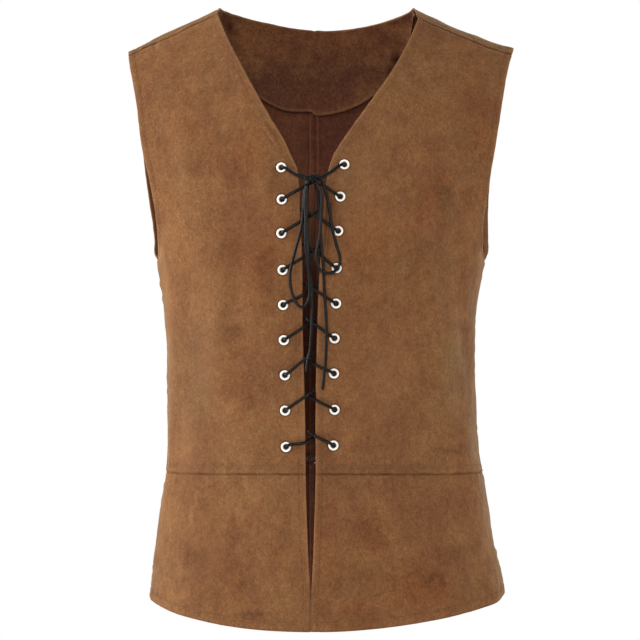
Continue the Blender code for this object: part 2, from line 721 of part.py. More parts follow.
def lace_route(first_side):
    """Half of the lace: from the bar inside, up through an eyelet of each front in turn, to the knot."""
    side, number = first_side, len(EYELETS["height_right"]) - 1
    x, height = eyelet_place(side, number)
    other = eyelet_place(-side, number)[0]
    middle = (x + other) / 2
    gap = SEAM_GAP / 2 * side
    route = [
        (middle + gap, BAR_HEIGHT, LACE_AT_RIM["under"]),
        (middle + BAR_STRAIGHT * (x - middle), BAR_HEIGHT, LACE_AT_RIM["under"]),
        (x - side * LACE_AT_RIM["along"], height - LACE_TURNS_DOWN, LACE_AT_RIM["under"]),
        (x - side * LACE_AT_BORE["along"], height, LACE_AT_BORE["under"]),
    ]
    while number > 0:
        start, end = np.array(eyelet_place(side, number)), np.array(eyelet_place(-side, number - 1))
        run = end - start
        length = np.linalg.norm(run)
        along = run / length
        near = abs((side * edge_x(side, start[1]) - start[0]) / along[0])
        far = length - abs((end[0] + side * edge_x(-side, end[1])) / along[0])
        shift, other = (float(EYELETS[f"shift_{side_name(s)}"][number]) for s in (side, -side))
        steps = (
            (-LACE_PAST_BORE, 0.0, LACE_IN_BORE),
            (LACE_AT_BORE["along"], 0.0, LACE_AT_BORE["over"]),
            (LACE_AT_RIM["along"], 0.0, LACE_AT_RIM["over"]),
            (near, shift, LACE_AT_EDGE["over"]),
            ((near + far) / 2, shift, LACE_CROSSES if shift > other else -LACE_CROSSES),
            (far, shift, LACE_AT_EDGE["under"]),
            (length - LACE_AT_RIM["along"], 0.0, LACE_AT_RIM["under"]),
            (length - LACE_AT_BORE["along"], 0.0, LACE_AT_BORE["under"]),
        )
        route += [(*(start + along * reach + (0, raised)), out) for reach, raised, out in steps]
        side, number = -side, number - 1
    x, height = eyelet_place(side, number)
    knot_side = KNOT_PLACE["x"] + side * (KNOT_RADII[0] + LACE_RADIUS / 4)
    route += [
        (x, height, LACE_IN_BORE),
        (x - side * LACE_AT_BORE["along"], height, LACE_AT_BORE["over"]),
        (x - side * LACE_AT_RIM["along"], height - LACE_TO_KNOT["down"], LACE_AT_RIM["over"]),
        ((x + knot_side) / 2, (height + KNOT_PLACE["height"]) / 2, LACE_TO_KNOT["halfway_out"]),
        (knot_side, KNOT_PLACE["height"] + LACE_TO_KNOT["meets_above"], KNOT_PLACE["out"]),
    ]
    return route


def knot(name, surface):
    build = bmesh.new()
    place = front_place(KNOT_PLACE["x"], KNOT_PLACE["height"], KNOT_PLACE["out"])[0]
    shape = Matrix.Translation(place) @ Matrix.Diagonal((*KNOT_RADII, 1))
    bmesh.ops.create_icosphere(build, subdivisions=2, radius=1.0, matrix=shape)
    return mesh_object(name, build, surface)


def main():
    clear_scene()
    suede = material("faux_suede", (0.27, 0.115, 0.048), 0.9)
    metal = material("eyelet_metal", (0.86, 0.84, 0.78), 0.3, 1.0)
    cord = material("lace_cord", (0.012, 0.011, 0.011), 0.6)
    waist_above, waist_below = shifted(WAIST_HEIGHT, SEAM_GAP / 2), shifted(WAIST_HEIGHT, -SEAM_GAP / 2)
    backs = {}
    for name, side in SIDES.items():
        for face in (FRONT, BACK):
            upper = front_arch(side) if face == FRONT else back_arch(side)
            lower = body_rows(face, side, waist_above, arm_level(), BODY_ROWS, 2.0)
            layers = layers_of(np.concatenate([lower, upper]))
            made = wall(f"{face_name(face)}_{name}", *layers, suede)
            if face == FRONT:
                cut_eyelet_holes(made, side)
            else:
                backs[name] = layers
            hem = {"centre": HEM_CENTRE, "side": HEM_SIDE[side]}
            skirt = body_rows(face, side, hem, waist_below, SKIRT_ROWS, HEM_CURVE[side])
            wall(f"{face_name(face)}_skirt_{name}", *layers_of(skirt), suede)
    facing("neck_facing", backs, suede)
    for name, side in SIDES.items():
        for number in range(len(EYELETS["height_right"])):
            eyelet(f"eyelet_{name}_{number + 1}", side, number, metal)
        route = [front_place(*step)[0] for step in lace_route(side)]
        tube(f"lace_{name}", route, cord)
    knot("bow_knot", cord)
    bow_strand("bow_loop_right", BOW_LOOP_RIGHT, cord)
    bow_strand("bow_loop_left", BOW_LOOP_LEFT, cord)
    bow_strand("bow_end_right", BOW_END_RIGHT, cord)
    bow_strand("bow_end_left", BOW_END_LEFT, cord)


main()
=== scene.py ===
"""The looks of a man's sleeveless laced vest in faux suede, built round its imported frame.

Each panel is a thin shell on its solid's form, with the finer creases, turned edges and seams
worked in. The front looks towards -Y and the wearer's left is at +X. Sizes are in metres, apart
from those in the tables, which are in millimetres.
"""

import math

import bmesh
import bpy
import numpy as np
from mathutils import Matrix, Vector


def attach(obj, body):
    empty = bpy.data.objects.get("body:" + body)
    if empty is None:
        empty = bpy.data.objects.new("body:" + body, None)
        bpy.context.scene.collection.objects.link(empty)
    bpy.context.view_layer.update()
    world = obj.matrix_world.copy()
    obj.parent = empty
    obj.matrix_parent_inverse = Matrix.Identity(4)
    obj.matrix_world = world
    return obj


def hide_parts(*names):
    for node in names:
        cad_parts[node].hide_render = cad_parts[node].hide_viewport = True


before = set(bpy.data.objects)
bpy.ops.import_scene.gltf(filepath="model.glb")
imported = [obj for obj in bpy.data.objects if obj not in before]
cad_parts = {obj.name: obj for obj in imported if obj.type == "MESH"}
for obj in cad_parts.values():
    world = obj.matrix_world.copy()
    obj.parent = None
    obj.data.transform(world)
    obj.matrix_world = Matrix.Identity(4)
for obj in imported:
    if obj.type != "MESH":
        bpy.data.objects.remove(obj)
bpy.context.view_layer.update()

FRONT, BACK = -1, 1
RIGHT, LEFT = -1, 1
SIDES = {"right": RIGHT, "left": LEFT}

# Cloth and seams
CLOTH = 0.0020
SEAM_GAP = 0.0003
SEAM_TURN = 0.10  # half a seam gap at the shoulder, in degrees of the shoulder's arch

# The body form: level sections below the armholes, an arch over each shoulder above them
SECTION_ROUND = 2.3  # exponent of the sections, where 2 is an ellipse
ARCH_ROUND = {FRONT: 2.1, BACK: 2.4}
ARM_HEIGHT = -0.264
NECK_POINT = {RIGHT: 0.1109, LEFT: 0.1038}
NECK_POINT_HEIGHT = 0.0222
SHOULDER_SLOPE = {RIGHT: 0.472, LEFT: 0.400}
SHOULDER_SAG = {RIGHT: 0.0, LEFT: 0.0035}  # how far each shoulder dips below a straight line
SEAM_RISE = {RIGHT: 74.5, LEFT: 72.5}
ARMHOLE_DEPTH = 0.62  # how far forward and back the armhole's edge lies, as a share of the section
ARMHOLE_FULL = 0.5  # the share of the armhole's height at which that is reached

# Edges
CENTRE_BACK = -0.006
BACK_NECK_HEIGHT = 0.0041
BACK_NECK_CURVE = {RIGHT: 1.28, LEFT: 2.0}
SEAM_CORNER = {RIGHT: 0.1134, LEFT: 0.1092}
V_HEIGHT = -0.1637
WAIST_HEIGHT = {"centre": -0.4925, "side": -0.4955}
HEM_CENTRE = -0.6600
HEM_SIDE = {RIGHT: -0.6365, LEFT: -0.6350}
HEM_CURVE = {RIGHT: 2.4, LEFT: 1.7}

# The facing inside the back neck
FACING_CENTRE = (-0.006, 0.0220)
FACING_RADIUS = 0.113
FACING_STANDS_OFF = 0.0025

# Eyelets and lace
EYELET_HOLE = 0.0042
LACE_RADIUS = 0.0016
KNOT_PLACE = {"x": -0.0088, "height": -0.1768, "out": 0.0090}
KNOT_RADII = (0.0082, 0.0043, 0.0052)

# Mesh steps
FINE = 8
PANEL_COLUMNS = 14
NECK_COLUMNS = 8
FACING_ROWS = 44
BODY_ROWS = 9
SKIRT_ROWS = 6
ARCH_ROWS = (0.0, 1.5, 4.5, 9.0, 13.5, 17.75, 25.0, 33.0, 42.0, 51.0, 60.0, 69.0)
DENSE = 400


def in_metres(rows):
    return np.array(rows, float) / 1000


def table(columns, *rows):
    """A dictionary of named columns: lengths in millimetres, or plain numbers where starred."""
    return {
        name.strip("*"): np.array(values, float) if name[0] == "*" else in_metres(values)
        for name, values in zip(columns.split(), zip(*rows))
    }


# Half widths and depths of the body's level sections
SECTIONS = table(
    "height half_right half_left front back",
    (-668, 192.5, 207.5, 143, 138), (-627, 189.2, 205.5, 139, 133), (-573, 183, 194.2, 131, 125),
    (-520, 176, 185.5, 124, 117), (-493, 171.5, 180.8, 121, 113.5), (-466, 170, 176.5, 120, 112),
    (-417, 170.5, 173.5, 120.5, 112.5), (-358, 171.2, 172.7, 124, 116), (-305, 176, 175.8, 126.5, 119.5),
    (-264, 180.8, 183, 128, 122),
)

# The armholes' edges by the share of the armhole's height
ARMHOLES = table(
    "*height front_right back_right front_left back_left",
    (0, 180.8, 180.8, 183, 183), (0.04, 179, 186.6, 180.5, 188.8), (0.114, 178.5, 188.7, 179.2, 191),
    (0.253, 182.2, 193.8, 182.2, 192.5), (0.396, 188.9, 198.8, 187.2, 195.2),
    (0.544, 196.1, 203, 193, 200), (0.714, 202, 207.8, 200.3, 205.8), (0.895, 209.6, 212.4, 208.6, 212.6),
    (1, 214.4, 214.4, 216.5, 216.5),
)
SHOULDER_TIP = {side: ARMHOLES[f"front_{name}"][-1] for name, side in SIDES.items()}

# The fronts' free edges, from the hem to the bottom of the V, and from there to the shoulder seam
OPENING_EDGES = table(
    "height right left",
    (-660, -10.5, -9.9), (-630, -10.5, -9.9), (-613, -11.1, -8.7), (-565, -13.5, -6.6),
    (-500, -15.6, -4.6), (-437, -16.2, -4.6), (-343, -18.6, -3), (-250, -19.7, 1.1), (-210, -21.7, 3.8),
    (-185, -22.3, 6.2), (-163.7, -24.7, 9.7),
)
V_EDGES = table(
    "height right left",
    (-163.7, -24.7, 9.7), (-150.6, -31, 14.2), (-133.2, -38.7, 24.7), (-115.7, -49.4, 36.8),
    (-89.2, -64.6, 55.7), (-53.2, -83.8, 80.2), (-15.7, -102.6, 100), (12, -113.7, 110.9),
)

# Eyelets: height, distance from the front's edge, and how far above the straight line to the next
# eyelet the lace that comes out here crosses the gap
EYELETS = table(
    "height_right inset_right shift_right height_left inset_left shift_left",
    (-163, 16.5, 0, -159.8, 15.3, 0), (-197.5, 19, 0.2, -194.5, 16.6, 2.8),
    (-233.9, 20.8, -0.6, -231.4, 17.2, 2), (-273.3, 20.9, -2.2, -271.2, 17.8, 3),
    (-310.9, 20.6, -4.2, -309.3, 19, 0.2), (-348.6, 20.2, -1.2, -346.7, 18.7, 1.4),
    (-386.4, 20.2, 1.6, -384.5, 19, -4), (-424.4, 21, -1.2, -423.5, 20.2, -3.8),
    (-463.6, 20.6, -11.8, -461.9, 19, -4.3),
)
EYELETS_A_SIDE = len(EYELETS["height_right"])

# Largest folds: the turn round the body in degrees (0 centre front, wearer's left positive, 180
# centre back) and the height at both ends, the half width in degrees and the height of the ridge
FOLDS = table(
    "*turn_from height_from *turn_to height_to *half_width ridge",
    (-44, -235, -50, -400, 6.5, 3), (-36, -215, -40, -350, 5.5, -2.2), (-60, -250, -62, -420, 6, -2.2),
    (-74, -300, -76, -520, 6, 2), (36, -220, 50, -455, 4.5, -3), (47, -250, 59, -440, 5.5, 3),
    (58, -235, 72, -380, 5, -2.2), (22, -330, 26, -450, 5, 1.6), (-50, -530, -54, -650, 8, 2.4),
    (-28, -540, -30, -650, 6, -1.6), (34, -530, 38, -650, 8, 2.2), (62, -500, 66, -640, 7, -2.4),
    (122, -280, 132, -460, 6, -3), (138, -240, 146, -450, 6, 2.6), (160, -300, 164, -470, 5, -2.2),
    (-120, -270, -130, -470, 6, 2.8), (-136, -250, -147, -440, 6, -2.8),
    (-158, -330, -163, -480, 5.5, 2.2), (126, -520, 130, -650, 8, 2.8), (152, -530, 155, -650, 7, -2.4),
    (-128, -520, -133, -650, 8, -2.6), (-152, -520, -157, -650, 8, 2.8),
)
FOLD_FADE = 0.040

# Routes of the bow in millimetres: x, height, and how far out of the fronts' surface the middle lies
BOW_ROUTES = {
    "bow_loop_right": (
        (-15.2, -184, 9.2), (-16.8, -194.5, 9), (-17.7, -206, 8.6), (-19, -222.1, 7.1),
        (-22.2, -237.1, 6.4), (-28.4, -260.6, 6.2), (-31.8, -276.7, 6.2), (-30.6, -292.8, 6.4),
        (-26.4, -305.6, 7.1), (-20.7, -312.5, 8.6), (-14.6, -310, 9.8), (-11, -300, 10.4),
        (-11.6, -278.8, 10.4), (-13.9, -260.6, 10.4), (-15.2, -241.4, 10.7), (-15, -222, 11.4),
        (-15.7, -204, 12.1), (-15.1, -193, 12.3), (-13.8, -183.8, 12.3),
    ),
    "bow_loop_left": (
        (2, -179, 8.5), (5.2, -187.3, 8.2), (9.8, -208, 7.6), (12.1, -225, 7.3), (17.3, -246.4, 7.2),
        (21, -259.5, 7.4), (20, -268.7, 8), (14.3, -275.2, 9.4), (5.9, -276, 10.4), (-1.3, -271.2, 10.6),
        (-4.4, -260.6, 10.6), (-3, -249.4, 10.6), (-0.4, -237.1, 10.6), (0.6, -222, 10.6),
        (1.3, -205, 10.6), (1, -194.5, 10.6), (-1, -183.8, 10.4),
    ),
    "bow_end_right": (
        (-12.4, -183.6, 6.3), (-14.4, -194, 6.3), (-15, -206, 6.3), (-14.1, -222.1, 6.3),
        (-13.1, -238, 6.4), (-12, -252.1, 6.6), (-10.9, -271.3, 6.6), (-9.1, -288.5, 6.6),
        (-8.2, -305.6, 6.6), (-8.7, -328.1, 6.6), (-10, -349.5, 6.6), (-10.9, -360.8, 6.6),
        (-13.3, -370.5, 6.6), (-14.6, -382.7, 6.6),
    ),
    "bow_end_left": (
        (-5, -183.6, 6.6), (-3, -190.5, 6.6), (-1.8, -200, 6.6), (-1, -212, 6.7), (0.4, -230.7, 6.8),
        (1.7, -252.1, 6.8), (3.2, -264.9, 6.8), (4.2, -283.1, 6.8), (4.9, -298.1, 6.8),
        (6.4, -320.6, 6.8), (6.9, -343.1, 6.8), (5.8, -372, 6.8), (4.2, -386.9, 6.8), (2.7, -401.4, 6.8),
    ),
}

# Each run of the lace from one eyelet to the next: how far out it lies over and under the fronts
LACE_IN_BORE = -0.0010
LACE_AT_BORE = {"along": 0.0014, "over": 0.0024, "under": -0.0044}
LACE_AT_RIM = {"along": 0.0046, "over": 0.0032, "under": -0.0052}
LACE_AT_EDGE = {"over": 0.0024, "under": -0.0048}
LACE_CROSSES = 0.0020
LACE_PAST_BORE = 0.0007
LACE_TURNS_DOWN = 0.0022  # how far below the lowest eyelets the lace turns to the bar
BAR_HEIGHT = -0.4754
BAR_STRAIGHT = 0.45  # the share of the way from the middle to the eyelet that the bar runs level
LACE_TO_KNOT = {"down": 0.0010, "halfway_out": 0.0060, "meets_above": 0.0008}


def read(rows, column, height):
    """A smooth curve through a table's column, read at these heights."""
    known, values = rows["height"], rows[column]
    slopes = np.gradient(values, known)
    height = np.clip(height, known[0], known[-1])
    i = np.clip(np.searchsorted(known, height, side="right") - 1, 0, len(known) - 2)
    step = known[i + 1] - known[i]
    t = (height - known[i]) / step
    start = (1 + 2 * t) * (1 - t) ** 2 * values[i] + t * (1 - t) ** 2 * step * slopes[i]
    end = t**2 * (3 - 2 * t) * values[i + 1] - t**2 * (1 - t) * step * slopes[i + 1]
    return start + end


def side_name(side):
    return "left" if side == LEFT else "right"


def face_name(face):
    return "front" if face == FRONT else "back"


def signed_power(value, exponent):
    return np.sign(value) * np.abs(value) ** exponent


def shoulder_line(side, x):
    """Height of the shoulder's top at a distance from the middle. Inside the neck point it levels off."""
    x, neck, slope = np.abs(x), NECK_POINT[side], SHOULDER_SLOPE[side]
    along = np.clip((x - neck) / (SHOULDER_TIP[side] - neck), 0, 1)
    outside = NECK_POINT_HEIGHT - slope * (x - neck) - SHOULDER_SAG[side] * np.sin(np.pi * along)
    inside = NECK_POINT_HEIGHT + slope * (neck**2 - x**2) / (2 * neck)
    return np.where(x > neck, outside, inside)


def arch(face, rise):
    """(reach, lift) at an angle up the arch: reach goes from 1 to 0 and lift from 0 to 1."""
    exponent = 2 / ARCH_ROUND[face]
    angle = np.radians(rise)
    return np.abs(np.cos(angle)) ** exponent, np.abs(np.sin(angle)) ** exponent


def arch_angle(face, side, x, height):
    """The angle up the arch of the point at x and this height."""
    lift = (height - ARM_HEIGHT) / (shoulder_line(side, x) - ARM_HEIGHT)
    return np.degrees(np.arcsin(np.clip(lift, 0, 1) ** (ARCH_ROUND[face] / 2)))


def armhole_edge(face, side, lift):
    return read(ARMHOLES, f"{face_name(face)}_{side_name(side)}", lift)


def arch_point(face, side, x, rise):
    """Points above the armholes. x is the distance towards that side."""
    reach, lift = arch(face, rise)
    grown = np.clip(lift / ARMHOLE_FULL, 0, 1)
    share = ARMHOLE_DEPTH * np.sqrt(1 - (1 - grown) ** 2)
    half = armhole_edge(face, side, lift) / (1 - share**SECTION_ROUND) ** (1 / SECTION_ROUND)
    across = np.clip(1 - (np.abs(x) / half) ** SECTION_ROUND, 0, 1) ** (1 / SECTION_ROUND)
    depth = read(SECTIONS, face_name(face), ARM_HEIGHT)
    height = ARM_HEIGHT + lift * (shoulder_line(side, x) - ARM_HEIGHT)
    return np.stack([side * x, face * depth * reach * across, height], -1)


def body_point(face, side, turn, height):
    """Points below the armholes. turn is 0 at the middle and 90 at the side seam, in degrees."""
    angle = np.radians(turn)
    half = read(SECTIONS, f"half_{side_name(side)}", height)
    depth = read(SECTIONS, face_name(face), height)
    x = side * half * signed_power(np.sin(angle), 2 / SECTION_ROUND)
    y = face * depth * np.abs(np.cos(angle)) ** (2 / SECTION_ROUND)
    return np.stack([x, y, height + 0 * x], -1)


def drape(points):
    """How far the folds lift the cloth at these points."""
    turn = np.degrees(np.arctan2(points[..., 0], -points[..., 1]))
    height = points[..., 2]
    lifted = np.zeros_like(turn)
    for turn_from, height_from, turn_to, height_to, half_width, ridge in zip(*FOLDS.values()):
        along = (height_from - height) / (height_from - height_to)
        across = (turn - turn_from - (turn_to - turn_from) * along) / half_width
        ends = np.minimum(height_from - height, height - height_to)
        fade = np.clip(ends / FOLD_FADE + 0.5, 0, 1)
        lifted += ridge * np.exp(-(across**2)) * fade**2 * (3 - 2 * fade)
    return lifted


def arc(grid, axis=0):
    """Distance travelled along an axis of a grid of points."""
    steps = np.linalg.norm(np.diff(grid, axis=axis), axis=-1)
    start = np.zeros_like(np.take(steps, [0], axis=axis))
    return np.concatenate([start, np.cumsum(steps, axis=axis)], axis=axis)


def picked(wanted, known, values):
    """Rows of values read at the wanted places between the known ones."""
    return np.stack([np.interp(wanted, known, column) for column in values.T], -1)


def spread(row, count, trim_start=0.0, trim_end=0.0):
    """count + 1 points evenly along a row, with its ends cut back."""
    length = arc(row)
    return picked(np.linspace(trim_start, length[-1] - trim_end, count + 1), length, row)


def finer(values):
    """The same run of values with FINE steps for each step."""
    count = (len(values) - 1) * FINE
    return np.interp(np.arange(count + 1) / FINE, np.arange(len(values)), values)


def edge_x(side, height):
    """A front's free edge as a distance towards its own side, negative past the middle."""
    rows = V_EDGES if height > V_HEIGHT else OPENING_EDGES
    return side * float(read(rows, side_name(side), height))


def body_row(face, side, inner, centre_height, side_height, curve):
    """A dense row below the armholes, from the inner edge to the side seam."""
    half = float(read(SECTIONS, f"half_{side_name(side)}", centre_height))
    start = math.degrees(math.asin(signed_power(inner / half, SECTION_ROUND / 2)))
    turn = np.linspace(start, 90, DENSE)
    share = np.abs(np.sin(np.radians(turn))) ** (2 * curve / SECTION_ROUND)
    return body_point(face, side, turn, centre_height + (side_height - centre_height) * share)


def body_rows(face, side, low, high, rows, curve):
    """Rows between two seams or edges, each given by its centre and side heights."""
    made = []
    for share in np.linspace(0, 1, rows * FINE + 1):
        centre = low["centre"] + (high["centre"] - low["centre"]) * share
        outer = low["side"] + (high["side"] - low["side"]) * share
        inner = edge_x(side, centre) if face == FRONT else side * CENTRE_BACK
        row = body_row(face, side, inner, centre, outer, curve)
        seam = 0.0 if face == FRONT else SEAM_GAP / 2
        made.append(spread(row, PANEL_COLUMNS * FINE, seam, SEAM_GAP / 2))
    return np.array(made)


def column_shares(face, side, inner):
    """Each column's place between the inner edge and the side seam, at the armholes' level."""
    row = spread(body_row(face, side, inner, ARM_HEIGHT, ARM_HEIGHT, 1.0), PANEL_COLUMNS * FINE)
    half = row[-1, 0]
    return (row[:, 0] - row[0, 0]) / (half - row[0, 0])


def front_arch(side):
    """The front's rows above the armholes, up to the shoulder seam."""
    top = SEAM_RISE[side] - SEAM_TURN
    low_shares = column_shares(FRONT, side, edge_x(side, ARM_HEIGHT))
    even = np.linspace(0, 1, len(low_shares))
    rows = []
    for rise in finer(ARCH_ROWS + (top,))[1:]:
        lift = float(arch(FRONT, rise)[1])
        limit = float(armhole_edge(FRONT, side, lift))
        inner = SEAM_CORNER[side]
        for _ in range(6):
            height = ARM_HEIGHT + lift * float(shoulder_line(side, inner) - ARM_HEIGHT)
            inner = edge_x(side, height)
        share = rise / top
        shares = low_shares * (1 - share) + even * share
        rows.append(arch_point(FRONT, side, inner + (limit - inner) * shares, rise))
    return np.array(rows)


def over_shoulder(side, x, rise):
    """The back's surface, which runs on past the top of the shoulder at 90 degrees."""
    behind = arch_point(BACK, side, x, np.minimum(rise, 90))
    before = arch_point(FRONT, side, x, 180 - np.maximum(rise, 90))
    return np.where((rise > 90)[..., None], before, behind)


def back_neck_height(side, x):
    share = np.clip(np.abs(x) / NECK_POINT[side], 0, 1)
    return BACK_NECK_HEIGHT + (NECK_POINT_HEIGHT - BACK_NECK_HEIGHT) * share ** BACK_NECK_CURVE[side]


def back_top_edge(side):
    """(x, rise) along the back's top: its neckline, over the shoulder's top, then the shoulder seam."""
    seam = 180 - SEAM_RISE[side] - SEAM_TURN
    start = side * CENTRE_BACK + SEAM_GAP / 2
    x = start + (NECK_POINT[side] - start) * np.sin(np.radians(np.linspace(0, 90, DENSE)))
    neckline = np.stack([x, arch_angle(BACK, side, x, back_neck_height(side, x))], -1)
    over = np.linspace([NECK_POINT[side], 90.0], [SEAM_CORNER[side], seam], DENSE)
    tip = float(armhole_edge(FRONT, side, arch(FRONT, 180 - seam)[1]))
    shoulder = np.linspace([SEAM_CORNER[side], seam], [tip, seam], DENSE)
    parts = []
    for run, columns in (
        (np.vstack([neckline, over]), NECK_COLUMNS),
        (shoulder, PANEL_COLUMNS - NECK_COLUMNS),
    ):
        length = arc(over_shoulder(side, run[:, 0], run[:, 1]))
        parts.append(picked(np.linspace(0, length[-1], columns * FINE + 1), length, run))
    return np.vstack([parts[0], parts[1][1:]])


def armhole_over_shoulder(side, rise):
    """The armhole's edge at these angles up the back, and on past the shoulder's top."""
    lift = np.where(rise > 90, arch(FRONT, 180 - rise)[1], arch(BACK, rise)[1])
    return np.where(rise > 90, armhole_edge(FRONT, side, lift), armhole_edge(BACK, side, lift))


def back_arch(side):
    """The back's rows above the armholes, up to the neckline and the shoulder seam."""
    top = back_top_edge(side)
    start = top[0, 0]
    low_shares = column_shares(BACK, side, side * CENTRE_BACK)
    top_shares = (top[:, 0] - start) / (armhole_over_shoulder(side, top[:, 1]) - start)
    rows = []
    for share in finer(ARCH_ROWS + (SEAM_RISE[RIGHT],))[1:] / SEAM_RISE[RIGHT]:
        rise = top[:, 1] * share
        limit = armhole_over_shoulder(side, rise)
        shares = low_shares * (1 - share) + top_shares * share
        rows.append(over_shoulder(side, start + (limit - start) * shares, rise))
    return np.array(rows)


def outward(grid):
    """Unit normals of a grid of points, away from the body's middle."""
    normals = np.cross(np.gradient(grid, axis=1), np.gradient(grid, axis=0))
    normals /= np.linalg.norm(normals, axis=-1, keepdims=True)
    middle = tuple(size // 2 for size in grid.shape[:2])
    return normals if normals[middle] @ (grid[middle] * (1, 1, 0)) > 0 else -normals


def front_place(x, height, out):
    """The point at x and height, this far out of the fronts' surface, and the surface's normal."""

    def surface_at(x, height):
        side = LEFT if x > 0 else RIGHT
        if height > ARM_HEIGHT:
            rise = arch_angle(FRONT, side, abs(x), height)
            point = arch_point(FRONT, side, np.array(abs(x)), rise)
        else:
            half = float(read(SECTIONS, f"half_{side_name(side)}", height))
            turn = math.degrees(math.asin((abs(x) / half) ** (SECTION_ROUND / 2)))
            point = body_point(FRONT, side, np.array(turn), height)
        return Vector(point + (0, -float(drape(point)), 0))

    step = 0.002
    here = surface_at(x, height)
    across = surface_at(x + step, height) - surface_at(x - step, height)
    up = surface_at(x, height + step) - surface_at(x, height - step)
    normal = across.cross(up).normalized()
    return here + normal * out, normal


def eyelet_place(side, number):
    height = float(EYELETS[f"height_{side_name(side)}"][number])
    inset = float(EYELETS[f"inset_{side_name(side)}"][number])
    return side * (edge_x(side, height) + inset), height


def facing_column(points, inward):
    """A column of the back's inside, from the neckline to the facing's arc, and the way inward."""
    middle, centre_height = FACING_CENTRE
    reach = np.hypot(points[:, 0] - middle, points[:, 2] - centre_height)
    past = int(np.argmax(reach > FACING_RADIUS))
    share = (FACING_RADIUS - reach[past - 1]) / (reach[past] - reach[past - 1])
    kept = np.arange(past).tolist() + [past - 1 + share]
    both = [picked(kept, np.arange(len(points)), run) for run in (points, inward)]
    length = arc(both[0])
    return [picked(np.linspace(0, length[-1], FACING_ROWS + 1), length, run) for run in both]


def smooth_line(points, samples):
    """A Catmull-Rom curve through the points, with this many samples for each stretch."""
    points = [Vector(p) for p in points]
    padded = [2 * points[0] - points[1]] + points + [2 * points[-1] - points[-2]]
    line = []
    for a, b, c, d in zip(padded, padded[1:], padded[2:], padded[3:]):
        for i in range(samples):
            t = i / samples
            line.append(
                0.5 * (2 * b + (c - a) * t + (2 * a - 5 * b + 4 * c - d) * t**2)
                + 0.5 * (3 * b - a - 3 * c + d) * t**3
            )
    return np.array([tuple(p) for p in line + [points[-1]]])


def lace_route(first_side):
    """Half of the lace: from the bar inside, up through an eyelet of each front in turn, to the knot."""
    side, number = first_side, EYELETS_A_SIDE - 1
    x, height = eyelet_place(side, number)
    other = eyelet_place(-side, number)[0]
    middle = (x + other) / 2
    gap = SEAM_GAP / 2 * side
    route = [
        (middle + gap, BAR_HEIGHT, LACE_AT_RIM["under"]),
        (middle + BAR_STRAIGHT * (x - middle), BAR_HEIGHT, LACE_AT_RIM["under"]),
        (x - side * LACE_AT_RIM["along"], height - LACE_TURNS_DOWN, LACE_AT_RIM["under"]),
        (x - side * LACE_AT_BORE["along"], height, LACE_AT_BORE["under"]),
    ]
    while number > 0:
        start, end = np.array(eyelet_place(side, number)), np.array(eyelet_place(-side, number - 1))
        run = end - start
        length = np.linalg.norm(run)
        along = run / length
        near = abs((side * edge_x(side, start[1]) - start[0]) / along[0])
        far = length - abs((end[0] + side * edge_x(-side, end[1])) / along[0])
        shift, other = (float(EYELETS[f"shift_{side_name(s)}"][number]) for s in (side, -side))
        steps = (
            (-LACE_PAST_BORE, 0.0, LACE_IN_BORE),
            (LACE_AT_BORE["along"], 0.0, LACE_AT_BORE["over"]),
            (LACE_AT_RIM["along"], 0.0, LACE_AT_RIM["over"]),
            (near, shift, LACE_AT_EDGE["over"]),
            ((near + far) / 2, shift, LACE_CROSSES if shift > other else -LACE_CROSSES),
            (far, shift, LACE_AT_EDGE["under"]),
            (length - LACE_AT_RIM["along"], 0.0, LACE_AT_RIM["under"]),
            (length - LACE_AT_BORE["along"], 0.0, LACE_AT_BORE["under"]),
        )
        route += [(*(start + along * reach + (0, raised)), out) for reach, raised, out in steps]
        side, number = -side, number - 1
    x, height = eyelet_place(side, number)
    knot_side = KNOT_PLACE["x"] + side * (KNOT_RADII[0] + LACE_RADIUS / 4)
    route += [
        (x, height, LACE_IN_BORE),
        (x - side * LACE_AT_BORE["along"], height, LACE_AT_BORE["over"]),
        (x - side * LACE_AT_RIM["along"], height - LACE_TO_KNOT["down"], LACE_AT_RIM["over"]),
        ((x + knot_side) / 2, (height + KNOT_PLACE["height"]) / 2, LACE_TO_KNOT["halfway_out"]),
        (knot_side, KNOT_PLACE["height"] + LACE_TO_KNOT["meets_above"], KNOT_PLACE["out"]),
    ]
    return route


# The photograph's view
CAMERA_PLACE = (0.0, -3.0, -0.327)
CAMERA_LENS = 150.67
CAMERA_SENSOR = 36.0
FLOOR_HEIGHT = -1.40
FLOOR_SIZE = 6.0
ROOM_LIGHT = 0.31

# Turned edges, seams and stitches
PLY = 0.0012
SEAM_STITCH = 0.0050  # where the stitches would be at an edge that is only seamed
STITCH_STEP = 5  # the place among edge_steps() where the stitches lie
PLY_ENDS = 0.002  # the way over which a turned edge's second ply thins out past its stitches
OPENS = {"armhole": 0.010, "neck": 0.004}  # the ways over which a seam turns into a free edge
SIDE_SEAM = {"below": 0.002, "fades": 0.030}
UNEVEN = (0.083, 0.031)
PULLED = {"fold": 1.0, "over": 1.0, "seam": 0.9, "shoulder": 1.2, "under": 0.7}
HEM_PLY = 0.0019
FOLD_STEPS = 3
EDGE_STITCH = 0.0056
ARMHOLE_STITCH = 0.0068
WAIST_STITCH = 0.0078
HEM_STITCH = 0.0090
NECK_STITCH = 0.0060
FOLD_RISE = 0.00032
FOLD_FALLS = 0.0018  # the way over which a turned edge's rise falls off past its stitches
TURNED_IN = 0.012
# Painted along the edges: shade in the stitches' grooves, along hems, the waist and seams, and pale rims of
# wear with painted highlights
PAINTED = {  # half widths of what is painted along the edges
    "stitches": 0.0016, "hem": 0.0009, "rubbed_and_lit": 0.0014, "waist": 0.0008, "seam": 0.0011, "ridge": 0.0013,
}
GROOVE = {"depth": 0.00042, "half_width": 0.0010}
SEAM_MEETS = 0.0005
HEM_CORNER = {"rise": 0.0050, "from": 0.190, "over": 0.0162, "fades": 0.040}
# Where the fronts' hems touch at the opening: pushed together, with painted shade along the edge
HEMS_TOUCH = {"from": -0.600, "over": 0.024, "by": 0.00022, "dark": 0.9, "half_width": 0.0010}
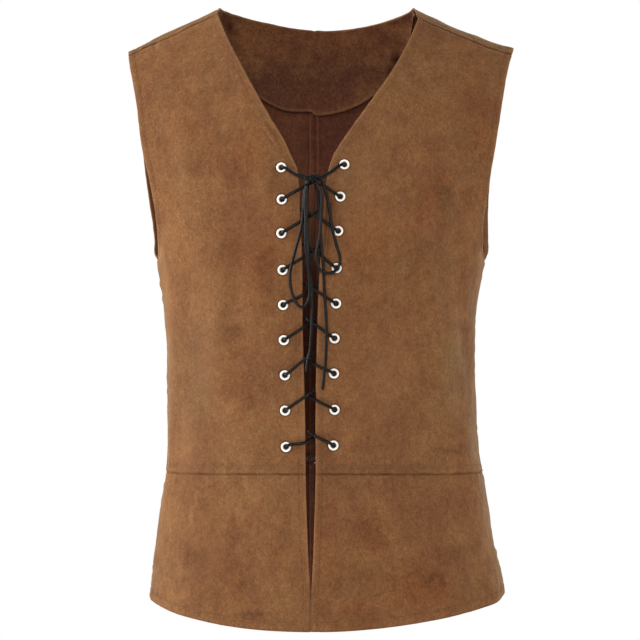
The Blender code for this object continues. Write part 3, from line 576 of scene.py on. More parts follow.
SEAM_VALLEY = {"depth": 0.0006, "half_width": 0.0016}
SEAM_RIDGE = {"rise": 0.00035, "at": 0.0048, "half_width": 0.0030}
SHOULDER_RIDGE = {"rise": 0.0006, "at": 0.0030, "half_width": 0.0017}
WAIST_LIP = {"rise": 0.0002, "half_width": 0.0060, "fold": 0.6}
WAIST_DIP = {"depth": 0.0005, "half_width": 0.0026}
PUCKER = {
    "rise": 0.00024, "shortest": 0.0075, "longest": 0.021, "reach": 0.0075, "count": 9, "patches": 0.11,
}
RUMPLE = {"rise": 0.00042, "shortest": 0.030, "longest": 0.085, "count": 26}
RIPPLE = {"rise": 0.00013, "shortest": 0.010, "longest": 0.024, "count": 40}
ALLOWANCE_RUMPLE = {"rise": 0.00015, "shortest": 0.015, "longest": 0.040, "count": 12}
CREASE_ENDS = 0.35  # the share of a crease over which it fades at both its ends
SMUDGES_AND_SHADE_WIDENED = 1.5
STITCHES_STOP = {"armhole": 0.004, "neck": 0.002}  # how far short of the seams' corners
STITCH = {"length": 0.0026, "pitch": 0.0031, "radius": 0.00030, "proud": 0.00010, "dips": 0.0011}
ALLOWANCE = {"off": 0.00045, "ply": 0.0009, "columns": {RIGHT: 7, LEFT: 4}}
COLUMN_STEPS = {"upper": 96, "skirt": 100}
ROW_STEPS = {"upper": 190, "skirt": 58}
EYELET_CALM = 0.0085
EYELET_PRESS = 0.00020
# The cloth pressed in round each eyelet's rim, with a painted contact shadow there
EYELET_RING = {"radius": 0.0058, "half_width": 0.0009, "depth": 0.00040, "dark": 0.80, "reach": 0.0095}

# Creases finer than the folds: where each runs on the front (-1) or the back (1), its half width
# and ridge
CREASES = table(
    "*face x_from height_from x_to height_to half_width ridge",
    (-1, -64.5, -203, -43, -144, 7, 1.4), (-1, -58.5, -106, -47, -122, 2.2, 0.6),
    (-1, -56, -112, -44, -130, 2.2, -0.5), (-1, -62.4, -110, -40, -146, 1.3, 0.7),
    (-1, -64, -116, -43, -150, 1.2, -0.6), (-1, -60, -118, -46, -140, 1.1, 0.6),
    (-1, -99, -525, -102, -585, 5, 1.2), (-1, -90, -520, -91, -590, 4.5, -1.2),
    (-1, 27, -318, 31, -346, 2.6, -0.8), (-1, 25.8, -356, 25.8, -378, 2.4, -0.7),
    (-1, 118, -458, 160, -449, 3.4, -0.9), (-1, 122, -466, 162, -462, 3.2, 0.8),
    (-1, -156, -455, -156, -492, 3, 0.9), (-1, -147.5, -450, -147, -492, 2.8, -0.8),
    (-1, -140, -458, -139, -492, 2.8, 0.7), (-1, -174.4, -229, -165.7, -247.5, 1.8, 1),
    (-1, -171.5, -244, -166, -265, 1.8, 0.9), (-1, -170, -232, -164, -242, 1.6, -0.6),
    (-1, -201, -28, -185, -20, 2.2, 1.2), (-1, -198, -33, -184, -26, 1.8, -0.8),
    (-1, 164, -200, 176, -224, 2, -0.8), (1, 80, -440, 84, -492, 4, -0.9),
    (1, -70, -430, -66, -492, 4, 1), (1, 135, -290, 65, -345, 8, 2.6), (1, 120, -325, 50, -365, 7, -1.8),
    (1, -140, -280, -65, -340, 8, 2.7), (1, -125, -335, -50, -380, 8, -1.9),
    (1, 40, -110, 15, -230, 10, -2), (1, -55, -90, -30, -220, 10, 2.1), (1, 155, -90, 120, -220, 9, 2.7),
    (1, -155, -100, -122, -230, 9, -2.3), (1, 90, -400, 50, -450, 7, 1.9),
    (1, -90, -410, -110, -470, 7, -1.8), (1, 70, -520, 76, -620, 7, 2.1),
    (1, -95, -520, -100, -610, 7, 2),
)

# Darker marks in the nap, and painted shade where less light falls on the cloth
SMUDGES_AND_SHADE = table(
    "*face x height half_x half_height *depth",
    (-1, -127, -253, 8, 6, 0.55), (-1, -70, -241, 5, 4, 0.45), (-1, -75, -311, 5.5, 4, 0.45),
    (-1, -89, -337, 6, 4.5, 0.45), (-1, -40, -238, 4, 3.5, 0.35), (-1, -126, -529, 6, 4.5, 0.5),
    (-1, -132, -583, 12, 7, 0.6), (-1, -143, -589, 6, 4, 0.5), (-1, -87, -563, 4.5, 3.5, 0.4),
    (-1, -82, -611, 5.5, 4, 0.45), (-1, -41, -556, 4.5, 3.5, 0.35), (-1, 134, -192, 12, 13, 0.6),
    (-1, 130, -204, 9, 6, 0.4), (-1, 169, -150, 15, 42, 0.52), (-1, 148, -208, 15, 12, 0.3),
    (-1, 140, -225, 20, 16, 0.3), (-1, 125, -615, 40, 14, 0.34), (-1, 108, -200, 12, 8, 0.4),
    (-1, -95, -170, 9, 12, 0.3), (-1, -135, -120, 8, 10, 0.25), (-1, -128, -264, 11, 30, 0.34),
    (-1, -60, -280, 16, 26, 0.5), (-1, -75, -315, 8, 16, 0.3), (-1, -90, -128, 10, 10, 0.22),
    (-1, -112, -590, 6, 6, 0.25), (-1, 121, -608.5, 13, 7.5, 1), (-1, 105, -600, 11, 6, 0.6),
    (-1, 42, -640, 15, 6, 0.55), (-1, 90, -634, 14, 6, 0.45), (-1, 142, -468, 15, 3.5, 0.6),
    (-1, 56, -556, 6, 13, 0.45), (-1, 48, -600, 8, 9, 0.45), (-1, -70, -642, 14, 2.8, 0.7),
    (-1, 118, -187, 8, 6, 0.45), (-1, 152, -201, 7, 5, 0.4), (-1, 179, -149, 6, 5, 0.4),
    (-1, 31, -246, 5, 4, 0.4), (-1, 94, -279, 8, 5.5, 0.5), (-1, 135, -287, 7, 5, 0.45),
    (-1, 89, -343, 6, 4, 0.25), (-1, 85, -268, 36, 28, 0.34), (-1, 140, -250, 20, 30, 0.22),
    (-1, 138, -440, 12, 14, 0.22), (-1, 60, -606, 42, 16, 0.42), (-1, 100, -600, 30, 14, 0.34),
    (-1, 158, -335, 7, 5, 0.4), (-1, 76, -375, 6, 3.5, 0.25), (-1, 27, -328, 3.5, 7, 0.45),
    (-1, 35, -510, 5, 4, 0.45), (-1, 46, -546, 6, 4.5, 0.5), (-1, 63, -565, 6, 4.5, 0.45),
    (-1, 152, -580, 8, 5, 0.5), (-1, 170, -575, 5, 10, 0.35), (1, 110, -150, 12, 8, 0.5),
    (1, -90, -190, 10, 7, 0.5), (1, 50, -260, 8, 6, 0.45), (1, -130, -330, 8, 6, 0.45),
    (1, 120, -390, 9, 6, 0.5), (1, -50, -420, 8, 5, 0.45), (1, -110, -560, 10, 6, 0.5),
    (1, 80, -590, 10, 7, 0.5),
)

# Paler patches: where the nap is rubbed, and painted light along the brightly lit sides
RUBBED_AND_LIT = table(
    "*face x height half_x half_height *depth",
    (-1, -175.5, -252, 4.5, 11, 0.75), (-1, -169, -240, 1.8, 10, 0.45), (-1, 179, -256, 3.5, 7, 0.6),
    (1, 181, -256, 6, 4.5, 0.9), (1, -181, -256, 6, 4.5, 0.9), (-1, 185, -560, 7, 26, 0.35),
    (-1, -156, -463, 3, 20, 0.35), (-1, -148, -470, 2, 16, 0.25), (-1, -98, -560, 3, 30, 0.2),
    (-1, 43, -170, 20, 40, 0.36), (-1, -166, -370, 7, 130, 0.34), (-1, -155, -155, 6, 50, 0.25),
    (-1, -118, -380, 11, 48, 0.28), (-1, -146, -468, 13, 30, 0.36), (-1, -114, -580, 13, 26, 0.28),
    (-1, 72, -380, 26, 40, 0.22),
)

# Where the nap turns redder, or olive where hue is under 0; the olive patches towards the sides are partly
# painted sheen
HUES = table(
    "*face x height half_x half_height *hue",
    (-1, -64.5, -273, 20, 40, 0.8), (-1, -75, -144, 20, 20, 0.6), (-1, -140, -402, 22, 80, -0.7),
    (-1, 113.5, -617, 32, 20, 1.1), (-1, 118, -188, 11, 15, 1), (-1, 136, -172, 8, 7, 0.7),
    (-1, 140, -200, 10, 12, -0.8), (-1, 113, -219, 18, 13, 0.7), (-1, 56, -560, 20, 22, 0.7),
    (-1, 149, -381, 20, 55, -1.1), (-1, 27, -177, 8, 25, -0.7), (-1, 176, -125, 11, 30, 0.9),
    (-1, 45, -245, 40, 48, 0.6), (-1, -33, -260, 24, 48, 0.4), (-1, 90, -598, 40, 26, 0.4),
    (-1, -2, -560, 20, 70, 0.45), (-1, -144, -115, 20, 30, 0.5), (-1, 164, -350, 8, 28, 0.6),
    (-1, -120, -380, 12, 48, -0.5), (-1, 42, -638, 20, 10, 0.8), (1, 90, -200, 30, 30, 0.5),
    (1, -110, -300, 30, 60, -0.4), (1, -70, -590, 30, 20, 0.4),
)
OLIVE_SHIFT = (0.95, 1.10, 1.22, 1)
RED_SHIFT = (1.04, 0.89, 0.86, 1)

# The suedes' colours (golden, reddish and deep), then each one's seed, sheen and strength of grain
SUEDES = {
    "faux_suede": ((0.214, 0.098, 0.037), (0.171, 0.072, 0.029), (0.090, 0.034, 0.014), 0, 0.17, 1.2),
    "faux_suede_inside": ((0.124, 0.045, 0.022), (0.089, 0.028, 0.016), (0.040, 0.011, 0.007), 4, 0.04, 1.3),
    "facing_suede": ((0.172, 0.072, 0.028), (0.108, 0.038, 0.019), (0.044, 0.014, 0.009), 8, 0.04, 1.6),
}

# Where the bow keeps the light off the wearer's left front
SHADES = table(
    "*face x height half_x half_height *depth",
    (-1, 6, -190, 4.5, 12, 0.9), (-1, 8, -206, 6.6, 13, 1.05), (-1, 7.5, -222, 7, 13, 1),
    (-1, 6.5, -240, 6, 14, 0.85), (-1, 20, -226, 4, 10, 0.3),
)


def smooth(share):
    share = np.clip(share, 0, 1)
    return share * share * (3 - 2 * share)


def unit(vectors):
    return vectors / np.maximum(np.linalg.norm(vectors, axis=-1, keepdims=True), 1e-12)


def bell(distance, half_width):
    return np.exp(-((distance / half_width) ** 2))


def edge_steps(stitched, first):
    """Distances from an edge at which a panel has points, close together round its stitches."""
    close = [first, 0.0014, 0.0024, 0.0036]
    return close + [stitched + by for by in (-0.0008, 0.0, 0.0008, 0.0020, 0.0038, 0.0064)]


def resampled(grid, start, end, count):
    """Each row of a grid at set distances from both its ends, with even steps between them."""
    made = []
    for row in grid:
        length = arc(row)
        middle = np.linspace(start[-1], length[-1] - end[-1], count + 1)[1:-1]
        wanted = np.concatenate([start, middle, length[-1] - np.array(end)[::-1]])
        made.append(picked(wanted, length, row))
    return np.array(made)


def waves(points, seed, rise, shortest, longest, count):
    """Soft unevenness from seeded plane waves, longer up and down than across."""
    chance = np.random.default_rng(seed)
    total = np.zeros(points.shape[:-1])
    for _ in range(count):
        way = chance.normal(size=3) * (1.0, 1.0, 0.6)
        way /= np.linalg.norm(way)
        length = chance.uniform(shortest, longest)
        total += np.sin(2 * np.pi * (points @ way) / length + chance.uniform(0, 2 * np.pi))
    return rise * total / math.sqrt(count / 2)


def puckers(along, away, seed):
    """Small uneven pulls across a row of stitches."""
    chance = np.random.default_rng(seed)
    total = np.zeros_like(along)
    for _ in range(PUCKER["count"]):
        length = chance.uniform(PUCKER["shortest"], PUCKER["longest"])
        total += np.sin(2 * np.pi * along / length + chance.uniform(0, 2 * np.pi))
    patchy = 0.65 + 0.6 * np.sin(2 * np.pi * along / PUCKER["patches"] + chance.uniform(0, 2 * np.pi))
    return PUCKER["rise"] * total / 2.1 * patchy * bell(away, PUCKER["reach"])


def creases(points, rows):
    """How far a table's creases lift the cloth."""
    lifted = np.zeros(points.shape[:-1])
    for face, x_from, z_from, x_to, z_to, half_width, ridge in zip(*rows.values()):
        run = np.array([x_to - x_from, z_to - z_from])
        length = np.linalg.norm(run)
        offset = points[..., [0, 2]] - (x_from, z_from)
        share = offset @ run / length**2
        aside = (offset[..., 0] * run[1] - offset[..., 1] * run[0]) / length
        ends = smooth(np.minimum(share, 1 - share) / CREASE_ENDS)
        lifted += ridge * bell(aside, half_width) * ends * (points[..., 1] * face >= 0)
    return lifted


def spots(points, rows, widened=1.0):
    """The strength of each of a table's soft spots at these points."""
    for face, x, height, half_x, half_height, depth in zip(*rows.values()):
        near = bell(points[..., 0] - x, widened * half_x)
        near = near * bell(points[..., 2] - height, widened * half_height)
        yield depth * near * (points[..., 1] * face >= 0)


def strongest(points, rows, widened=1.0):
    """The strongest of a table's soft spots at each of these points."""
    return np.max([0 * points[..., 0], *spots(points, rows, widened)], axis=0)


def eyelet_spots(side):
    """The middle of each of a front's eyelets, and the front's normal there."""
    return [front_place(*eyelet_place(side, number), 0.0) for number in range(EYELETS_A_SIDE)]


def eyelet_closeness(points):
    """1 at an eyelet, falling to 0 around it."""
    close = np.zeros(points.shape[:-1])
    for centre, _ in eyelet_spots(RIGHT) + eyelet_spots(LEFT):
        away = np.linalg.norm(points - np.array(centre), axis=-1)
        close = np.maximum(close, np.exp(-((away / EYELET_CALM) ** 4)))
    return close


def edge_relief(kind, distance, stitched):
    """How a panel's edge stands above its surface at this distance from it."""
    if kind in ("fold", "over"):
        rise, lip = FOLD_RISE, 0.0
        if kind == "over":
            rise = WAIST_LIP["fold"] * FOLD_RISE
            lip = WAIST_LIP["rise"] * bell(distance, WAIST_LIP["half_width"])
        flat = rise * (1 - smooth((distance - stitched) / FOLD_FALLS))
        return lip + flat - GROOVE["depth"] * bell(distance - stitched, GROOVE["half_width"])
    if kind == "under":
        return -WAIST_DIP["depth"] * bell(distance, WAIST_DIP["half_width"])
    ridge = SHOULDER_RIDGE if kind == "shoulder" else SEAM_RIDGE
    valley = -SEAM_VALLEY["depth"] * bell(distance, SEAM_VALLEY["half_width"])
    return valley + ridge["rise"] * bell(distance - ridge["at"], ridge["half_width"])


def shell(name, outer, inner, fields, surfaces, inside=None, turned=None):
    """A thin closed piece between two grids, with a rounded fold round its border.

    fields are painted on the outer grid, its border and the inner grid, which has its own where
    inside gives them. Where turned is over a half, the inner grid has the outer surface.
    """
    rows, columns = outer.shape[:2]
    count = rows * columns
    index = np.arange(count).reshape(rows, columns)
    ring = np.concatenate([index[0, :-1], index[:-1, -1], index[-1, :0:-1], index[:0:-1, 0]])
    away = np.zeros_like(outer)
    away[:, 0] += unit(outer[:, 0] - outer[:, 2])
    away[:, -1] += unit(outer[:, -1] - outer[:, -3])
    away[0] += unit(outer[0] - outer[2])
    away[-1] += unit(outer[-1] - outer[-3])
    out, back, away = outer.reshape(-1, 3), inner.reshape(-1, 3), away.reshape(-1, 3)[ring]
    half = (out[ring] - back[ring]) / 2
    through = unit(half)
    away = unit(away - through * (away * through).sum(1, keepdims=True))
    middle = (out[ring] + back[ring]) / 2
    reach = away * np.linalg.norm(half, axis=1, keepdims=True)
    points = [out, back]
    loops = [ring]
    for step in range(1, FOLD_STEPS + 1):
        angle = math.pi * step / (FOLD_STEPS + 1)
        points.append(middle + half * math.cos(angle) + reach * math.sin(angle))
        loops.append(2 * count + (step - 1) * len(ring) + np.arange(len(ring)))
    loops.append(ring + count)
    quads = np.stack([index[:-1, :-1], index[:-1, 1:], index[1:, 1:], index[1:, :-1]], -1).reshape(-1, 4)
    faces = [quads, quads[:, ::-1] + count]
    for first, second in zip(loops, loops[1:]):
        faces.append(np.stack([np.roll(first, -1), first, second, np.roll(second, -1)], -1))
    faces = np.concatenate(faces)
    row, column = rows // 2, columns // 2
    here = outer[row, column]
    normal = np.cross(outer[row, column + 1] - here, outer[row + 1, column] - here)
    if normal @ (here - inner[row, column]) < 0:
        faces = faces[:, ::-1]
    obj = piece(name, np.concatenate(points), faces.tolist(), *surfaces)
    mesh = obj.data
    if len(surfaces) > 1:
        which = np.zeros(len(faces), int)
        within = np.ones(len(quads), int)
        if turned is not None:
            within[(turned[:-1, :-1] + turned[1:, 1:]).reshape(-1) > 1] = 0
        which[len(quads):2 * len(quads)] = within
        mesh.polygons.foreach_set("material_index", which)
    for field, values in fields.items():
        values = values.reshape(-1)
        within = (inside or {}).get(field, values).reshape(-1)
        painted = np.concatenate([values, within] + [values[ring]] * FOLD_STEPS)
        made = mesh.attributes.new(field, "FLOAT", "POINT")
        made.data.foreach_set("value", painted.astype(np.float32))
    mesh.update()
    return obj


def piece(name, points, faces, *surfaces):
    """A new object of the vest, which moves with its one body."""
    mesh = bpy.data.meshes.new(name)
    mesh.from_pydata(np.array(points).tolist(), [], faces)
    for surface in surfaces:
        mesh.materials.append(surface)
    mesh.shade_smooth()
    obj = bpy.data.objects.new(name, mesh)
    bpy.context.scene.collection.objects.link(obj)
    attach(obj, "root")
    return obj


def faces_outward(obj):
    build = bmesh.new()
    build.from_mesh(obj.data)
    bmesh.ops.recalc_face_normals(build, faces=build.faces)
    build.to_mesh(obj.data)
    build.free()
    return obj


def upper_grid(face, side):
    waist = {place: height + SEAM_GAP / 2 for place, height in WAIST_HEIGHT.items()}
    arms = {"centre": ARM_HEIGHT, "side": ARM_HEIGHT}
    upper = front_arch(side) if face == FRONT else back_arch(side)
    return np.concatenate([body_rows(face, side, waist, arms, BODY_ROWS, 2.0), upper])


def skirt_grid(face, side):
    waist = {place: height - SEAM_GAP / 2 for place, height in WAIST_HEIGHT.items()}
    hem = {"centre": HEM_CENTRE, "side": HEM_SIDE[side]}
    return body_rows(face, side, hem, waist, SKIRT_ROWS, HEM_CURVE[side])


def facing_shade(points, edge):
    """How strongly the facing's lower edge shades the back behind it."""
    nearest = np.full(points.shape[:-1], np.inf)
    for place in edge:
        nearest = np.minimum(nearest, np.linalg.norm(points - place, axis=-1))
    return FACING_SHADE["depth"] * bell(nearest, FACING_SHADE["half_width"])


def panel(face, side, part):
    """The layers of one panel, its painted fields and its rows of stitches."""
    upper, front = part == "upper", face == FRONT
    stitched = {
        "inner": EDGE_STITCH if front else SEAM_STITCH,
        "outer": ARMHOLE_STITCH,
        "low": WAIST_STITCH if upper else HEM_STITCH,
        "high": NECK_STITCH if upper else SEAM_STITCH,
    }
    # How far in from each edge the first points lie
    first = {"inner": 0.0007 if front else -0.0001, "low": 0.0004 if upper else 0.0007}
    steps = {edge: edge_steps(at, first.get(edge, 0.0006)) for edge, at in stitched.items()}
    grid = upper_grid(face, side) if upper else skirt_grid(face, side)
    grid = resampled(grid, steps["inner"], steps["outer"], COLUMN_STEPS[part]).transpose(1, 0, 2)
    grid = resampled(grid, steps["low"], steps["high"], ROW_STEPS[part]).transpose(1, 0, 2)
    normals = outward(grid)
    base = grid + normals * drape(grid)[..., None]
    across, up = arc(grid, 1), arc(grid, 0)
    open_side = upper * smooth((grid[:, -1:, 2] - ARM_HEIGHT) / OPENS["armhole"] + 0.5)
    open_top = smooth((SEAM_CORNER[side] - np.abs(grid[-1:, :, 0])) / OPENS["neck"] + 0.5)
    open_top = open_top * (upper and not front)
    base[:, -1] += unit(base[:, -1] - base[:, -2]) * SEAM_MEETS * (1 - open_side)
    if front and not upper:
        touching = smooth((HEMS_TOUCH["from"] - grid[:, :1, 2]) / HEMS_TOUCH["over"])
        base[:, 0] += unit(base[:, 0] - base[:, 1]) * HEMS_TOUCH["by"] * touching
    if side == LEFT and not upper:
        share = np.clip((grid[:1, :, 0] - HEM_CORNER["from"]) / HEM_CORNER["over"], 0, 1)
        base[..., 2] += HEM_CORNER["rise"] * share**3 * (1 - smooth(up / HEM_CORNER["fades"]))
    if upper:
        base[-1] += unit(base[-1] - base[-2]) * SEAM_MEETS * (1 - open_top[0][:, None])
    distance = {"inner": across, "outer": across[:, -1:] - across, "low": up, "high": up[-1:] - up}
    free, neck = open_side + 0 * across, open_top + 0 * across
    kinds = {
        "inner": [("fold" if front else "seam", 1.0)],
        "outer": [("fold", free), ("seam", 1 - free)] if upper else [("seam", 1.0)],
        "low": [("over" if upper else "fold", 1.0)],
        "high": [("shoulder" if upper else "under", 1.0)],
    }
    if upper and not front:
        kinds["high"] = [("fold", neck), ("shoulder", 1 - neck)]
    seed = 100 + 10 * (face + 1) + 3 * (side + 1) + (not upper)
    relief = waves(grid, 7, **RUMPLE) + waves(grid, 11, **RIPPLE) + creases(grid, CREASES)
    thick, wear_and_highlight, seam, turned = np.zeros((4, *across.shape))
    for number, (edge, several) in enumerate(kinds.items()):
        runs = up if edge in ("inner", "outer") else across
        away, from_stitches = distance[edge], distance[edge] - stitched[edge]
        uneven = np.sin(2 * np.pi * runs / UNEVEN[0] + number) * np.sin(2 * np.pi * runs / UNEVEN[1] + seed)
        uneven = 0.5 + 0.5 * uneven
        for kind, weight in several:
            stands = weight
            if upper and edge == "outer" and kind == "seam":
                below = ARM_HEIGHT - SIDE_SEAM["below"] - grid[:, -1:, 2]
                stands = weight * smooth(below / SIDE_SEAM["fades"])
            relief = relief + stands * edge_relief(kind, away, stitched[edge])
            pulled = weight * PULLED[kind]
            relief = relief + pulled * puckers(runs, from_stitches, seed + 31 * number)
            if kind in ("fold", "over"):
                thick = np.maximum(thick, weight * (1 - smooth(from_stitches / PLY_ENDS)))
                # painted shade in the groove along the stitches
                dark = (0.10 + 0.16 * uneven) * weight
                seam = np.maximum(seam, dark * bell(from_stitches, PAINTED["stitches"]))
            if kind == "fold":
                turned = np.maximum(turned, weight * (away < TURNED_IN))
                if edge == "low":
                    # a painted shadow line along the hem's lower edge
                    seam = np.maximum(seam, 0.5 * weight * uneven * bell(away, PAINTED["hem"]))
                else:
                    # a pale rim along the fold, of wear and painted highlight
                    wear_and_highlight = np.maximum(wear_and_highlight, 0.5 * weight * bell(away, PAINTED["rubbed_and_lit"]))
            elif kind in ("over", "under"):
                # painted shade along the waist seam, where the upper panel laps over the skirt
                dark = (0.20 + 0.55 * uneven) * weight
                seam = np.maximum(seam, dark * bell(away, PAINTED["waist"]))
            else:
                # painted shade in the seam's valley
                seam = np.maximum(seam, 0.85 * weight * bell(away, PAINTED["seam"]))
            if kind == "shoulder":
                # a painted highlight along the ridge beside the shoulder seam
                ridge = bell(away - SHOULDER_RIDGE["at"], PAINTED["ridge"])
                wear_and_highlight = np.maximum(wear_and_highlight, (0.3 + 0.4 * uneven) * weight * ridge)
    if front and not upper:
        # painted shade where the two fronts' hems touch
        seam = np.maximum(seam, HEMS_TOUCH["dark"] * touching * bell(across, HEMS_TOUCH["half_width"]))
    if front and upper:
        close = eyelet_closeness(grid)
        relief = relief * (1 - close) + EYELET_PRESS * close
        thick = np.maximum(thick, close)
    # Painted fields: pale wear with painted highlights, dark marks with painted shade, painted shade along
    # the edges with the bow's painted shadow, and hue
    fields = {
        "wear_and_highlight": np.maximum(wear_and_highlight, strongest(grid, RUBBED_AND_LIT)),
        "smudge_and_shade": strongest(grid, SMUDGES_AND_SHADE, SMUDGES_AND_SHADE_WIDENED),
        "seam": np.maximum(seam, strongest(grid, SHADES)),
        "hue": sum(spots(grid, HUES)),
    }
    outer = base + normals * relief[..., None]
    normals = outward(outer)
    inner = outer - normals * (PLY + (HEM_PLY - PLY) * thick)[..., None]
    stitches = [np.s_[:, STITCH_STEP]] if front else []
    if upper:
        level = int(np.argmax(grid[:, -1, 2] > ARM_HEIGHT + STITCHES_STOP["armhole"]))
        stitches.append(np.s_[level:, -STITCH_STEP - 1])
    stitches.append(np.s_[STITCH_STEP])
    if upper and not front:
        past = int(np.argmax(np.abs(grid[-1, :, 0]) > SEAM_CORNER[side] - STITCHES_STOP["neck"]))
        stitches.append(np.s_[-STITCH_STEP - 1, :past])
    lines = [(outer[run], normals[run]) for run in stitches]
    return {
        "outer": outer, "inner": inner, "normals": normals, "fields": fields, "lines": lines,
        "turned": turned,
    }


def allowance(name, layers, columns, surface):
    """A seam's pressed-open allowance, laid on the inside of a panel along its inner edge."""
    normals = outward(layers["inner"])
    normals *= np.sign((normals * layers["normals"]).sum(-1, keepdims=True))
    grid, normals = layers["inner"][:, :columns], normals[:, :columns]
    lift = waves(grid, 31, **ALLOWANCE_RUMPLE)[..., None]
    top = grid - normals * (ALLOWANCE["off"] + lift)
    across, none = arc(grid, 1), 0 * lift[..., 0]
    # A pale rim along the allowance's free edge, of wear and painted highlight
    fields = {"wear_and_highlight": bell(across[:, -1:] - across, 0.0012), "smudge_and_shade": none, "seam": none}
    return shell(name, top - normals * ALLOWANCE["ply"], top, fields, (surface,))


def stitch_rows(name, lines, surface):
    """Rows of small stitches that dip into the cloth at both their ends."""
    along = (-0.5, -0.40, -0.14, 0.14, 0.40, 0.5)
    thick = (0.05, 0.80, 1.00, 1.00, 0.80, 0.05)
    sides = 6
    points, faces = [], []
    for line, normals in lines:
        length = arc(line)
        centres = np.arange(STITCH["pitch"], length[-1] - STITCH["pitch"] / 2, STITCH["pitch"])
        here = picked(centres, length, line)
        way = unit(picked(centres + 0.001, length, line) - picked(centres - 0.001, length, line))
        lift = unit(picked(centres, length, normals))
        aside = unit(np.cross(way, lift))
        for middle, forward, up, beside in zip(here, way, lift, aside):
            start = len(points)
            for share, size in zip(along, thick):
                dip = STITCH["proud"] - STITCH["dips"] * abs(share) ** 2.4
                centre = middle + forward * share * STITCH["length"] + up * dip
                for i in range(sides):
                    angle = 2 * math.pi * i / sides
                    ring = beside * math.cos(angle) + up * math.sin(angle)
                    points.append(centre + ring * STITCH["radius"] * size)
            for ring in range(len(along) - 1):
                for i in range(sides):
                    a, b = start + ring * sides + i, start + ring * sides + (i + 1) % sides
                    faces.append((a, b, b + sides, a + sides))
            faces.append(tuple(start + i for i in range(sides))[::-1])
            last = start + (len(along) - 1) * sides
            faces.append(tuple(last + i for i in range(sides)))
    return faces_outward(piece(name, points, faces, surface))


# Laces
STRAND_SIDES = 18
STRAND_STEP = 0.00065
BRAID = {"depth": 0.130, "lobes": 4, "pitch": 0.0034}


def rounded_line(line):
    """A line with its corners cut back into curves, inside the line itself."""
    for _ in range(3):
        near = line[:-1] * 0.75 + line[1:] * 0.25
        far = line[:-1] * 0.25 + line[1:] * 0.75
        line = np.concatenate([line[:1], np.stack([near, far], 1).reshape(-1, 3), line[-1:]])
    return line


def braid_rings(line):
    """Points and faces of a braided round strand along a line, its ends closed and rounded."""
    line = spread(line, max(4, round(arc(line)[-1] / STRAND_STEP)))
    ways = unit(np.gradient(line, axis=0))
    side = unit(np.cross(ways[0], (0.3, 0.2, 1.0)))
    frames = []
    for way in ways:
        side = unit(side - way * (side @ way))
        frames.append((side, np.cross(way, side)))
    angles = 2 * math.pi * np.arange(STRAND_SIDES) / STRAND_SIDES
    length = arc(line, 0)
    turns = 2 * math.pi * length[:, None] / BRAID["pitch"]
    lobes = BRAID["lobes"] * angles[None]
    relief = np.maximum(np.cos(lobes + turns), np.cos(lobes - turns)) - 0.6
    from_end = np.minimum(length, length[-1] - length)
    close = np.sqrt(1 - (1 - np.clip(from_end / LACE_RADIUS, 0.02, 1)) ** 2)[:, None]
    size = LACE_RADIUS * close * (1 + BRAID["depth"] * relief)
    first, second = np.array([f[0] for f in frames]), np.array([f[1] for f in frames])
    rings = line[:, None] + size[..., None] * (
        first[:, None] * np.cos(angles)[None, :, None] + second[:, None] * np.sin(angles)[None, :, None]
    )
    points = rings.reshape(-1, 3)
    faces = []
    here = np.arange(STRAND_SIDES)
    there = np.roll(here, -1)
    for ring in range(len(line) - 1):
        low = ring * STRAND_SIDES
        high = low + STRAND_SIDES
        faces += np.stack([low + here, low + there, high + there, high + here], -1).tolist()
    last = (len(line) - 1) * STRAND_SIDES
    faces.append(here[::-1].tolist())
    faces.append((last + here).tolist())
    return points, faces


def strands(node_name, lines, surface):
    """Braided strands along these lines, in place of one of the lace's solids."""
    points, faces = [], []
    for line in lines:
        some, these = braid_rings(line)
        start = sum(len(p) for p in points)
        points.append(some)
        faces += [[start + i for i in face] for face in these]
    return kept(piece(f"braid_{node_name}", np.concatenate(points), faces, surface), node_name, "lace")


def lie(route):
    """A route's points on the fronts."""
    return np.array([tuple(front_place(*step)[0]) for step in route])


# The knot's strands in millimetres, as x, height and distance out from the knot's middle
KNOT_STRANDS = (
    ((-6.4, -7.2, 0.2), (-5.6, -4, 1.4), (-4.4, -1, 1.6), (-2.2, 1.2, 1), (0.6, 1.8, 0.2)),
    ((-5, -7, 3.3), (-4.2, -3.4, 3.6), (-2.6, 0, 2.8), (0.2, 1.4, 1.4)),
    ((-3.6, -6.8, -2.7), (-3.2, -3.6, -1.6), (-2, -0.6, -1), (0.2, 0.8, -0.8)),
    ((3.8, -6.8, -2.4), (3, -3.6, -1.4), (1.6, -0.6, -0.8), (-0.4, 0.8, -0.8)),
    ((7.8, -7, 1.4), (6.4, -4, 2.4), (4, -0.6, 2.2), (1.2, 1.8, 1.6), (-1, 2.2, 0.6)),
    ((10.8, -2.2, -0.5), (8.6, 0.4, 0.6), (5.6, 2, 1), (1.6, 2.2, 0.4)),
    ((-8.4, 0.8, 0), (-6, 0.8, 1.4), (-3.4, 1.8, 1.8), (0, 2.6, 0.8)),
    ((8.4, 0.8, 0), (5.8, 3.2, 0.6), (2.6, 3.6, 0.8), (-1, 2.2, 0)),
)
KNOT_WRAP = {
    "turns": 1.55, "half_width": 0.0022, "lean": 0.0016, "height": 0.0034, "out": 0.0036, "steps": 24,
}


def knot_point(x, height, out):
    return front_place(KNOT_PLACE["x"] + x, KNOT_PLACE["height"] + height, KNOT_PLACE["out"] + out)[0]


